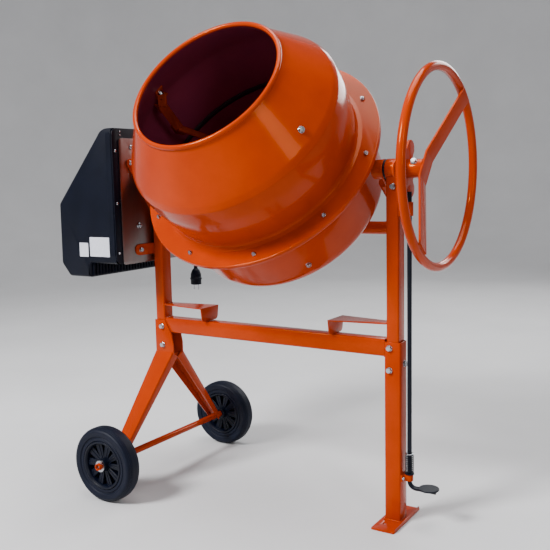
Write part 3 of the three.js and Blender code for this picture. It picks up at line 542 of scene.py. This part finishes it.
def fastener_mesh(kind, flats):
    """Washer with a hexagon head or nut (and its thread end), or a domed screw head, sitting on z = 0."""
    parts = []
    if kind == "screw":
        dome = [(24, flats / 2, 0), (24, flats / 2, flats * 0.1), (24, flats * 0.43, flats * 0.24)]
        dome += [(24, flats * 0.27, flats * 0.33), (24, flats * 0.1, flats * 0.30)]
        parts.append(ring_stack(dome))
    else:
        rim = flats * 0.62
        thickness = flats * 0.42
        top = WASHER_TOP + thickness
        washer = [(32, rim, 0), (32, rim, 1.2), (32, rim - 0.4, WASHER_TOP), (32, 1, WASHER_TOP)]
        parts.append(ring_stack(washer))
        vertices, faces = hexagon_head(flats, thickness)
        parts.append(([(x, y, z + WASHER_TOP) for x, y, z in vertices], faces))
        if kind == "nut":
            stud = [(20, flats * 0.3, top - 1), (20, flats * 0.3, top + 2.6), (20, flats * 0.24, top + 3.4)]
            parts.append(ring_stack(stud))
        if kind == "bolt":
            boss = [(24, flats * 0.36, top - 0.2), (24, flats * 0.33, top + 0.5), (24, 1, top + 0.6)]
            parts.append(ring_stack(boss))
    vertices, faces = [], []
    for part_vertices, part_faces in parts:
        base = len(vertices)
        vertices += [Vector(v) * 0.001 for v in part_vertices]
        faces += [tuple(i + base for i in face) for face in part_faces]
    mesh = bpy.data.meshes.new(f"{kind}_{flats}")
    mesh.from_pydata(vertices, [], faces)
    mesh.materials.append(ZINC)
    tidy = bmesh.new()
    tidy.from_mesh(mesh)
    bmesh.ops.recalc_face_normals(tidy, faces=tidy.faces)
    tidy.to_mesh(mesh)
    tidy.free()
    mesh.polygons.foreach_set("use_smooth", [True] * len(mesh.polygons))
    mesh.set_sharp_from_angle(angle=math.radians(38))
    return mesh


def fasten(name, body, matrix, places, normal, kind, flats):
    """Fasteners of one kind on a body, at places of a frame, facing along its normal."""
    key = (kind, flats)
    if key not in fastener_meshes:
        fastener_meshes[key] = fastener_mesh(kind, flats)
    way = matrix.to_3x3() @ Vector(normal)
    for number, place in enumerate(places, 1):
        made = bpy.data.objects.new(f"{name}_{number}", fastener_meshes[key])
        bpy.context.scene.collection.objects.link(made)
        spin = Matrix.Rotation(random.uniform(0, math.pi), 4, "Z")
        made.matrix_world = facing(matrix @ Vector(place), way) @ spin
        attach(made, body)


def weld_bead(name, points, radius, body="frame", matrix=STANDING):
    """A painted weld: a lumpy bead along a line of points."""
    sides = 8
    places = [Vector(p) for p in points]
    dense = []
    for a, b in zip(places, places[1:]):
        steps = max(2, round((b - a).length / 3))
        dense += [a.lerp(b, i / steps) for i in range(steps)]
    dense.append(places[-1])
    vertices, faces = sweep(dense, radius, sides)
    for i, middle in enumerate(dense):
        swell = 1 + 0.16 * math.sin(i * 2.1) + random.uniform(-0.08, 0.08)
        for k in range(i * sides, (i + 1) * sides):
            vertices[k] = middle + (vertices[k] - middle) * swell
    bead = piece(name, vertices, faces, PAINT, body, matrix)
    return bead


# ---------------------------------------------------------------- drum
FLANGE_TOP = 57
FLANGE_RADIUS = 354.6
SHEET = 3
DRUM_SEGMENTS = 144


def make_drum_upper():
    outer = filleted([
        (FLANGE_RADIUS - 0.8, 45), (FLANGE_RADIUS, 46.5, 1), (FLANGE_RADIUS, FLANGE_TOP, 3.5),
        (306, FLANGE_TOP, 8), (295.5, 61.5, 6), (293, 70, 14), (303, 130, 160), (307.5, 180, 200),
        (306, 221, 14), (298, 237, 60), (212.8, 351.7),
    ], 6)
    bead = arc(206.3, 356, 6.5, -46, 200, 14)
    inner = [(203.5, 349), (294, 235.5), (302.5, 217), (304, 180), (299.5, 130), (290, 70), (292.5, 62.5),
             (303, 54), (FLANGE_RADIUS - SHEET, 54), (FLANGE_RADIUS - SHEET, 45)]
    profile = outer[:-1] + bead + inner
    vertices, faces = lathe(profile, DRUM_SEGMENTS)
    # The inner colour, a darker maroon that stands in for painted shade inside the drum, runs from the end
    # of the bead down the wall to where the flange begins.
    first = len(outer) - 1 + len(bead)
    dark = range((first - 1) * DRUM_SEGMENTS, (first + 6) * DRUM_SEGMENTS)
    drum = piece("drum_upper_shell", vertices, faces, PAINT, "drum", DRUM, dark, DRUM_INSIDE_SHADED)
    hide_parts("drum_upper")


def make_drum_lower():
    floor = -154
    outer = filleted([
        (0.5, floor), (198, floor), (204, floor + 2.5, 6), (212, floor, 6), (301, floor, 50),
        (305, 40, 120), (311, 49, 5), (335, 49), (336, 50), (336, 52),
    ], 8)
    inner = filleted([(303, 52), (302, 40, 5), (298, floor + SHEET, 47), (0.5, floor + SHEET)], 8)
    vertices, faces = lathe(outer + inner, DRUM_SEGMENTS)
    # The inside faces take the darker inner colour: painted shade over the drum's orange inside.
    dark = range((len(outer) - 1) * DRUM_SEGMENTS, len(faces))
    drum = piece("drum_lower_shell", vertices, faces, PAINT, "drum", DRUM, dark, DRUM_INSIDE_SHADED)
    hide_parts("drum_lower", "drum_floor")


def make_gasket():
    outline = [(334, 52.3), (334, 53.7), (303.5, 53.7), (293.4, 60.5, 4), (289.6, 67, 3), (289.8, 74, 1.5),
               (286.4, 74, 1.5), (285.4, 67, 3), (291, 58, 3), (298, 51, 2), (301.6, 50), (301.6, 52.3)]
    seal = turned("drum_seal", filleted(outline, 4), SEAL_RUBBER, "drum", DRUM, DRUM_SEGMENTS)
    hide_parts("drum_gasket")


def around(radius, turn, z):
    angle = math.radians(turn)
    return (radius * math.cos(angle), radius * math.sin(angle), z)


make_drum_upper()
make_drum_lower()
make_gasket()

flange_turns = [1.2 + 36 * k for k in range(10)]
on_flange = [around(328.5, turn, FLANGE_TOP) for turn in flange_turns]
under_flange = [around(313.5, turn + 18, 47.2) for turn in flange_turns]
fasten("flange_bolt", "drum", DRUM, on_flange, (0, 0, 1), "nut", 10)
fasten("flange_bolt_under", "drum", DRUM, under_flange, (0, 0, -1), "bolt", 5)

CONE_LEAN = math.radians(36.6)
CONE_NORMAL = (math.cos(CONE_LEAN), math.sin(CONE_LEAN))
for side, cone_turn, bowl_turn in (("left", 162, 126), ("right", -18, -54)):
    out = Vector(around(CONE_NORMAL[0], cone_turn, CONE_NORMAL[1]))
    inward = Vector(around(-CONE_NORMAL[0], cone_turn, -CONE_NORMAL[1]))
    from_bowl = around(1, bowl_turn, 0)
    fasten(f"blade_bolt_cone_{side}", "drum", DRUM, [around(279.2, cone_turn, 262)], out, "bolt", 14)
    fasten(f"blade_nut_cone_{side}", "drum", DRUM, [around(268, cone_turn, 260.5)], inward, "nut", 13)
    fasten(f"blade_bolt_bowl_{side}", "drum", DRUM, [around(301.3, bowl_turn, -90)], from_bowl, "bolt", 13)


# ---------------------------------------------------------------- yoke
def pipe_profile(outer, low, high, bore, edge=1.2):
    """Closed section of a round bar or sleeve along its axis with eased ends."""
    inner = max(bore, 0.4)
    return [(inner, low), (outer - edge, low), (outer, low + edge),
            (outer, high - edge), (outer - edge, high), (inner, high)]


def make_yoke():
    bottom, arm, bend, tube = -268, 350, 90, 19
    corner = arm - bend
    route = [(arm, -50)] + arc(corner, bottom + bend, bend, 0, -90, 18)
    route += arc(-corner, bottom + bend, bend, -90, -180, 18) + [(-arm, -50)]
    parts = [swept("yoke_tube", [(x, 0, z) for x, z in route], tube, PAINT, "yoke", LEANING, 32)]
    cheek = arc(0, 0, 26, 0, 180, 24) + [(-26, -96), (-14, -112), (14, -112), (26, -96)]
    for x in (366.2, -366.2):
        stand_up = LEANING @ Matrix(((0, 0, 1, x), (1, 0, 0, 0), (0, 1, 0, 0), (0, 0, 0, 1)))
        parts.append(plate("yoke_cheek", cheek, 7, PAINT, "yoke", stand_up, edge=0.8))
    along_x = LEANING @ facing((0, 0, 0), (1, 0, 0))
    # Outer radius, both ends and bore of the bosses and of the two trunnion pins.
    pipes = ((26, 338, 368, 0), (26, -368, -353, 10.4), (15, 345, 470.6, 0), (15, -411.7, -355, 10.4))
    for outer, low, high, bore in pipes:
        section = pipe_profile(outer, low, high, bore)
        parts.append(turned("yoke_boss", section, PAINT, "yoke", along_x, 48))
    section = pipe_profile(24, bottom - 24, bottom + 24, 12.8)
    parts.append(turned("yoke_boss", section, PAINT, "yoke", DRUM, 48))
    body = merged("yoke_body", parts)
    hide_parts("yoke")
    for tag, side in (("right", 1), ("left", -1)):
        seam = [(DRUM_X + side * 23.5, y, bottom + z * 0.9) for y, z in arc(0, 0, 20.5, 200, 340, 20)]
        weld_bead(f"yoke_weld_{tag}", seam, 2, "yoke", LEANING)


make_yoke()


# ---------------------------------------------------------------- handwheel
HANDWHEEL_X = 517
HANDWHEEL_RADIUS = 247
BAR_TURN = math.radians(52)
BAR_WIDTH = 48


def make_handwheel():
    along_x = axle_frame(0, 0, TILT_Z)
    section = arc(HANDWHEEL_RADIUS, HANDWHEEL_X, 11.5, 0, 345, 23)
    rim = turned("handwheel_hoop", section, PAINT, "yoke", along_x, 160)
    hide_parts("handwheel_rim")
    flat, end, hub_face, end_face, thick = 38, 240, 476.0, 527.2, 4
    near = [(-end, end_face), (-flat, hub_face, 9), (flat, hub_face, 9), (end, end_face)]
    far = [(s, x + thick, *r) for s, x, *r in near]
    outline = filleted(near, 5) + filleted(far, 5)[::-1]
    along = Vector((0, math.cos(BAR_TURN), math.sin(BAR_TURN)))
    out = Vector((1, 0, 0))
    turn = Matrix((along, out, along.cross(out))).transposed().to_4x4()
    place = STANDING @ (Matrix.Translation((0, 0, TILT_Z)) @ turn)
    bar = plate("handwheel_bar", outline, BAR_WIDTH, PAINT, "yoke", place, edge=0.7)
    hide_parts("handwheel_spokes")


make_handwheel()
PIN_TURN = math.radians(45)
HUB_RADIUS = 23.4
pin_up, pin_out = math.sin(PIN_TURN), math.cos(PIN_TURN)
for name, side, kind in (("hub_pin_bolt", 1, "bolt"), ("hub_pin_nut", -1, "nut")):
    seat = (453, -HUB_RADIUS * side * pin_out, TILT_Z + HUB_RADIUS * side * pin_up)
    fasten(name, "yoke", STANDING, [seat], (0, -side * pin_out, side * pin_up), kind, 14)
hub_ring = [(475.3, y, TILT_Z + z) for y, z in arc(0, 0, 24.5, 0, 360, 40)]
weld_bead("hub_weld", hub_ring, 1.8, "yoke")
BAR_END = HANDWHEEL_RADIUS - 6
for number, sign in enumerate((1, -1), 1):
    bar_y, bar_z = sign * math.cos(BAR_TURN), sign * math.sin(BAR_TURN)
    seam = [(HANDWHEEL_X + 10.8, bar_y * BAR_END - bar_z * across, TILT_Z + bar_z * BAR_END + bar_y * across)
            for across in (-22, -11, 0, 11, 22)]
    weld_bead(f"rim_weld_{number}", seam, 1.8, "yoke")


# ---------------------------------------------------------------- drum lock
ROD_X = 434.5


def make_lock_rod():
    foot, bend = 98, 18
    route = [(ROD_X, 0, 884), (ROD_X, 0, 500)]
    route += [(x, 0, z) for x, z in arc(ROD_X + bend, foot + bend, bend, 180, 270, 12)] + [(508, 0, foot)]
    rod = swept("rod_bar", route, 6, BLACK_STEEL, "lock", STANDING, 28)
    on_foot = STANDING @ Matrix.Translation((489, 0, 104))
    tread = plate("rod_tread", circle(26.2, 56), 4, BLACK_STEEL, "lock", on_foot, edge=0.8)
    across = axle_frame(ROD_X, 0, 196.5, (0, 1, 0))
    pin = turned("rod_pin", pipe_profile(2, -11, 11, 0, 0.5), BLACK_STEEL, "lock", across, 16)
    body = merged("lock_rod_bar", [rod, tread, pin])
    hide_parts("lock_rod")


def make_spring():
    low, high = 138.5, 190
    wire, turns, radius = 1.3, 9, 10.4
    steps = 260
    points = []
    for i in range(steps + 1):
        t = i / steps
        angle = 2 * math.pi * turns * t
        height = low + wire + (high - low - 2 * wire) * t
        points.append((ROD_X + radius * math.cos(angle), radius * math.sin(angle), height))
    coil = swept("lock_coil_spring", points, wire, BLACK_STEEL, "frame", STANDING, 10)
    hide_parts("lock_spring")
    # The sleeve's own top follows the pedal by the whole travel, so the coils keep the rest of their height.
    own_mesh(coil)


make_lock_rod()
make_spring()
FRONT, REAR, RIGHT = (0, -1, 0), (0, 1, 0), (1, 0, 0)
for tag, x, z in (("lower", 421.8, 125.5), ("upper", 416.8, 831), ("top", 416.8, 850)):
    fasten(f"guide_bolt_{tag}", "frame", STANDING, [(x, -15.5, z)], RIGHT, "bolt", 8)

# ---------------------------------------------------------------- frame fasteners and welds
UPRIGHT_X, LEG_FACE = 395, 22.5
STAND_FACE = 24.2
ARM_FACE = -412.8
PLATE_FACE = -418.1
FRAME_FASTENERS = (
    ("leg_bolt_front", "bolt", 14, FRONT, [(387, -LEG_FACE, 476), (387, -LEG_FACE, 417)]),
    ("leg_nut_rear", "nut", 14, REAR, [(387, LEG_FACE, 476), (387, LEG_FACE, 417)]),
    ("leg_bolt_side", "bolt", 14, RIGHT, [(UPRIGHT_X + LEG_FACE, 5, 433)]),
    ("upright_bolt", "bolt", 13, FRONT, [(397, -20.5, 898)]),
    ("stand_bolt_front", "bolt", 14, FRONT, [(-387, -STAND_FACE, 471), (-386, -STAND_FACE, 412)]),
    ("stand_nut_rear", "nut", 14, REAR, [(-387, STAND_FACE, 471), (-387, STAND_FACE, 424)]),
    ("arm_bolt", "bolt", 12, RIGHT, [(ARM_FACE, 108, 979), (ARM_FACE, -108, 979)]),
    ("strap_bolt", "bolt", 12, RIGHT, [(ARM_FACE, 78, 716), (ARM_FACE, -78, 716)]),
    ("plate_bolt", "screw", 14, RIGHT, [(PLATE_FACE, -98, 1026), (PLATE_FACE, 98, 1026)]),
    ("plate_stud", "nut", 15, RIGHT, [(PLATE_FACE, -77, 791), (PLATE_FACE, 77, 791)]),
)
for name, kind, flats, normal, places in FRAME_FASTENERS:
    fasten(name, "frame", STANDING, places, normal, kind, flats)

foot = LEG_FACE + 0.8
foot_corners = [(-foot, -foot), (foot, -foot), (foot, foot), (-foot, foot), (-foot, -foot)]
weld_bead("foot_weld", [(UPRIGHT_X + x, y, 5) for x, y in foot_corners], 2.6)
beam_corners = [(-20.8, 453), (-20.8, 497), (20.8, 497), (20.8, 453), (-20.8, 453)]
for name, x in (("beam_weld_left", -377), ("beam_weld_right", 372)):
    weld_bead(name, [(x, y, z) for y, z in beam_corners], 2)
for name, x in (("rest_weld_left", -377), ("rest_weld_right", 377)):
    weld_bead(name, [(x, -18, 541.5), (x, 18, 541.5)], 1.8)
for name, x in (("housing_weld_left", -UPRIGHT_X), ("housing_weld_right", UPRIGHT_X)):
    saddle = [(x - 17, y, TILT_Z + z) for y, z in arc(0, 0, 27.6, 215, 325, 16)]
    saddle += [(x + 17, y, TILT_Z + z) for y, z in arc(0, 0, 27.6, 325, 215, 16)]
    weld_bead(name, saddle + saddle[:1], 1.6)


# ---------------------------------------------------------------- wheels
WHEEL_RADIUS = 110
WHEEL_VANES = 10


def make_tyre(tag, body, middle):
    """Sidewalls with a raised ring, grooves round both shoulders and a flat tread."""
    half = [
        (72.3, 20), (73, 22.5, 1), (80, 23, 1), (81.5, 20.8, 1), (84, 21, 1), (86, 24.2, 1.5), (99, 26, 5),
        (104.6, 22.6, 2), (104.4, 20.9), (105.8, 20.7), (107, 18.2), (106.6, 17), (107.9, 16.6),
        (108.8, 13.6), (108.3, 12.6), (109.4, 12.2), (WHEEL_RADIUS, 8, 2), (WHEEL_RADIUS, 0),
    ]
    upper = filleted(half, 4)
    lower = [(r, -z) for r, z in reversed(upper[:-1])]
    tread = turned(f"tyre_{tag}_moulded", upper + lower, RUBBER, body, middle, 128)
    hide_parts(f"tyre_{tag}")


def make_rim(tag, body, middle):
    """A hoop and a hub joined by a thin web, with flat ribs and slanted vanes on both sides of it."""
    hoop = filleted([
        (72, -20), (72, 20), (70.5, 23.5, 1.5), (65.5, 23.5, 1.5), (62, 18, 3), (60.5, 0, 10),
        (62, -18, 3), (65.5, -23.5, 1.5), (70.5, -23.5, 1.5), (72, -20),
    ], 3)
    hub = filleted([
        (10.3, -28), (16.5, -28), (18, -26.5), (19, -8, 6), (19, 8, 6), (18, 26.5), (16.5, 28), (10.3, 28),
    ], 3)
    web = [(14, -1.5), (63, -1.5), (63, 1.5), (14, 1.5)]
    vane = [(16, -5), (62.5, -10.5), (62.5, 10.5), (16, 5)]
    rib = [(16, -13), (63, -13), (63, 13), (16, 13)]
    upright = Matrix.Rotation(math.pi / 2, 4, "X")
    parts = [
        turned("rim_hoop", hoop, WHEEL_PLASTIC, body, middle, 96),
        turned("rim_hub", hub, WHEEL_PLASTIC, body, middle, 48),
        turned("rim_web", web, WHEEL_PLASTIC, body, middle, 64),
    ]
    for k in range(WHEEL_VANES):
        spin = Matrix.Rotation(2 * math.pi * k / WHEEL_VANES, 4, "Z")
        for face in (-1, 1):
            lift = Matrix.Translation((0, 0, face * 10.5)) @ Matrix.Rotation(math.radians(face * 9), 4, "X")
            parts.append(plate("rim_vane", vane, 4, WHEEL_PLASTIC, body, middle @ spin @ lift, edge=1.2))
        parts.append(plate("rim_rib", rib, 3.4, WHEEL_PLASTIC, body, middle @ spin @ upright, edge=0.8))
    rim = merged(f"wheel_{tag}_moulded", parts)
    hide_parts(f"wheel_rim_{tag}")


def make_wheel(tag, side):
    body = f"wheel_{tag}"
    middle = axle_frame(-387, side * 290, WHEEL_RADIUS, (0, side, 0))
    make_tyre(tag, body, middle)
    make_rim(tag, body, middle)
    section = [(10.4, 28.4), (16.5, 28.4), (17, 28.9), (16.7, 30.2), (10.4, 30.2)]
    washer = turned(f"axle_washer_{tag}", section, ZINC, "frame", middle, 48)
    # The two legs of a split pin through the axle, side by side and bent apart at one end.
    slanted = middle @ Matrix.Rotation(math.radians(55), 4, "Z")
    for number, way in enumerate((1, -1), 1):
        leg = [(x, way * 0.9, 34) for x in (-13.5, -8, 0, 8, 13.5)]
        leg += [(15, way * 1.2, 34), (16.5, way * 4.5, 34)]
        swept(f"split_pin_{tag}_{number}", leg, 0.9, ZINC, "frame", slanted, 10)


make_wheel("front", -1)
make_wheel("rear", 1)


# ---------------------------------------------------------------- motor case
CASE_HALF = 175
CASE_MOUTH = -424.7
CASE_TOP = 1081
STEP_X, STEP_Z = -534, 680
PANEL_FACE = -421.4
GRILLE_RIBS = 25


def case_section():
    """Side outline of the case as (x, z), from the top of its mouth round to the foot of the step."""
    return ([(CASE_MOUTH, CASE_TOP)] + arc(-448, CASE_TOP - 40, 40, 90, 148, 10)
            + arc(-636, 853, 20, 148, 180, 6) + arc(-636, 683, 22, 180, 215, 5)
            + arc(-618, 650, 14, 215, 270, 6) + [(STEP_X - 3, 636), (STEP_X, 639), (STEP_X, STEP_Z - 4),
                                               (STEP_X + 4, STEP_Z), (CASE_MOUTH, STEP_Z)])


def on_side(x, y, z):
    """The standing frame moved to a point, with an outline's own Y turned up."""
    return STANDING @ Matrix(((1, 0, 0, x), (0, 0, 1, y), (0, 1, 0, z), (0, 0, 0, 1)))


def make_hood():
    """The hood: its side outline carried across, pulled in round the two side faces for a moulded edge."""
    section = case_section()
    count = len(section)
    middle = Vector((-520, 860))
    # Depth from a side face, and how far the outline is pulled in there.
    moulded_edge = [(0, 7), (1, 4.2), (3, 1.9), (6, 0.5), (9, 0)]
    rows = [(-CASE_HALF + depth, pull) for depth, pull in moulded_edge]
    rows += [(CASE_HALF - depth, pull) for depth, pull in reversed(moulded_edge)]
    vertices, faces = [], []
    for y, pull in rows:
        for i, (x, z) in enumerate(section):
            before = Vector(section[max(i - 1, 0)])
            after = Vector(section[min(i + 1, count - 1)])
            way = (after - before).normalized()
            inward = Vector((-way.y, way.x))
            if inward.dot(middle - Vector((x, z))) < 0 and i < count - 4:
                inward = -inward
            if i in (0, count - 1):
                inward = Vector((0, -1 if i == 0 else 1))
            vertices.append((x + inward.x * pull, y, z + inward.y * pull))
    for row in range(len(rows) - 1):
        for i in range(count - 1):
            a = row * count + i
            faces.append((a, a + 1, a + count + 1, a + count))
    faces.append(tuple(range(count)))
    faces.append(tuple(range((len(rows) - 1) * count, len(rows) * count)))
    hood = piece("case_hood", vertices, faces, BLACK_PLASTIC, "frame", STANDING)
    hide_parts("motor_case")


def make_grille():
    """A row of upright ribs on the step's face."""
    rib = box_outline(5, 36, 1.2)
    ribs = []
    for k in range(GRILLE_RIBS):
        y = (k - (GRILLE_RIBS - 1) / 2) * 13.4
        place = axle_frame(STEP_X + 2, y, 659)
        ribs.append(plate("rib", rib, 5, BLACK_PLASTIC, "frame", place, edge=0.8))
    grille = merged("case_grille", ribs)


def make_side_bands():
    """A raised strip down each side face, beside the panel."""
    strip = rounded_loop([(-446, 704), (-427, 704), (-427, 1068), (-446, 1068)], 5)
    for tag, side in (("front", -1), ("rear", 1)):
        place = on_side(0, side * (CASE_HALF + 0.4), 0)
        band = plate(f"case_side_band_{tag}", strip, 2.4, BLACK_PLASTIC, "frame", place, edge=0.9)


make_hood()
make_grille()
make_side_bands()
for tag, side in (("front", -1), ("rear", 1)):
    edge_screws = [(PANEL_FACE, side * 163, z) for z in (1014, 860, 712)]
    top_screws = [(PANEL_FACE, side * 140, z) for z in (1061, 1071)]
    fasten(f"panel_screw_{tag}", "frame", STANDING, edge_screws, RIGHT, "screw", 9)
    fasten(f"panel_screw_top_{tag}", "frame", STANDING, top_screws, RIGHT, "screw", 5)
LABELS = ((-556, 720, 36, 42), (-490, 730, 80, 58))  # middle x and z, width, height
for number, (x, z, width, height) in enumerate(LABELS, 1):
    outline = box_outline(width, height, 1.5)
    place = on_side(x, -CASE_HALF - 0.5, z)
    plate(f"blank_label_{number}", outline, 0.8, LABEL, "frame", place, edge=0.2)

# ---------------------------------------------------------------- lead, plug and switch
lead.data.materials.append(LEAD_PLASTIC)
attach(lead, "frame")
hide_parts("mains_lead")


def make_plug():
    top = LEAD["plug_top"] - 0.3
    face = top - 70
    centre = STANDING @ Matrix.Translation((LEAD["x"], LEAD["turn_y"] + LEAD["bend"], 0))
    outline = filleted([
        (0.4, face), (18.5, face, 1.2), (18.5, face + 16, 0.8), (20.5, face + 18, 1), (20.5, face + 23, 1),
        (18.5, face + 25, 0.8), (18, face + 36, 8), (13, face + 50, 8), (7, face + 56, 2), (6.2, face + 60),
        (6.4, face + 61), (5.8, face + 64), (6, face + 65), (5.5, top), (0.4, top),
    ], 4)
    parts = [turned("plug_shell", outline, BLACK_PLASTIC, "frame", centre, 48)]
    for x in (-9.5, 9.5):
        pin = [(0.3, face - 19), (1.5, face - 18.6), (2.4, face - 17), (2.4, face + 1), (0.3, face + 1)]
        parts.append(turned("plug_pin", pin, ZINC, "frame", centre @ Matrix.Translation((x, 0, 0)), 16))
    plug = merged("mains_plug_moulded", parts)
    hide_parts("mains_plug")
    return plug


def make_gland():
    """Strain relief: a flanged rubber sleeve that tapers along the lead, with moulded rings."""
    out = axle_frame(LEAD["x"], 0, LEAD["exit_z"], (0, 1, 0))
    rings = []
    for k in range(6):
        y = 183.5 + k * 4.8
        radius = 9 - k * 0.42
        rings += [(radius, y), (radius, y + 2.6), (radius - 1.1, y + 3.0), (radius - 1.1, y + 4.4)]
    outline = [(4.2, 175.4), (13.2, 175.4), (14, 176.2), (14, 179.6), (13.2, 180.4), (9.2, 181.4)]
    outline += rings + [(6.4, 212.6), (4.2, 212.7)]
    gland = turned("lead_gland_moulded", outline, SEAL_RUBBER, "frame", out, 40)
    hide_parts("lead_gland")


plug = make_plug()
make_gland()

SWITCH_X, SWITCH_Z = -580, 790
switch_corners = [(SWITCH_X + dx, 199.3, SWITCH_Z + dz) for dx in (-24, 24) for dz in (-44, 44)]
fasten("switch_screw", "frame", STANDING, switch_corners, REAR, "screw", 6)


# ---------------------------------------------------------------- floor and lights
def make_studio():
    """A round floor, in metres, that curves up into a backdrop all round."""
    flat, curve, top = 5, 3, 7
    profile = [(0.001, 0), (flat, 0)]
    for i in range(1, 13):
        angle = math.radians(7.5 * i)
        profile.append((flat + curve * math.sin(angle), curve - curve * math.cos(angle)))
    profile.append((flat + curve, top))
    vertices, faces = lathe(profile, 96, closed=False)
    mesh = bpy.data.meshes.new("studio_floor")
    mesh.from_pydata(vertices, [], faces)
    mesh.polygons.foreach_set("use_smooth", [True] * len(mesh.polygons))
    paper = surface("pale_floor", (0.60, 0.60, 0.61), (0.56, 0.56, 0.57), 1.5, (0.6, 0.75), specular=0.2)
    mesh.materials.append(paper)
    floor = bpy.data.objects.new("studio_floor", mesh)
    bpy.context.scene.collection.objects.link(floor)


def softbox(name, place, target, size, power):
    data = bpy.data.lights.new(name, "AREA")
    data.shape = "RECTANGLE"
    data.size, data.size_y = size
    data.energy = power
    light = bpy.data.objects.new(name, data)
    bpy.context.scene.collection.objects.link(light)
    way = Vector(target) - Vector(place)
    light.matrix_world = Matrix.Translation(place) @ way.to_track_quat("-Z", "Y").to_matrix().to_4x4()


make_studio()
softbox("key_light", (-1.6, -3.4, 3.6), (0, 0, 0.8), (1.3, 1.3), 430)
softbox("fill_light", (3.6, -2.2, 2.2), (0, 0, 0.8), (0.8, 2.2), 40)
softbox("top_light", (0.2, 0.4, 4.6), (0, 0, 0.6), (3.4, 3.0), 200)
softbox("back_light", (0.5, 4.2, 2.8), (0, 0, 0.9), (3, 1.6), 95)

world = bpy.data.worlds.new("studio_world")
bpy.context.scene.world = world
world.use_nodes = True
world.node_tree.nodes["Background"].inputs["Color"].default_value = (0.93, 0.95, 1.0, 1)
world.node_tree.nodes["Background"].inputs["Strength"].default_value = 0.11
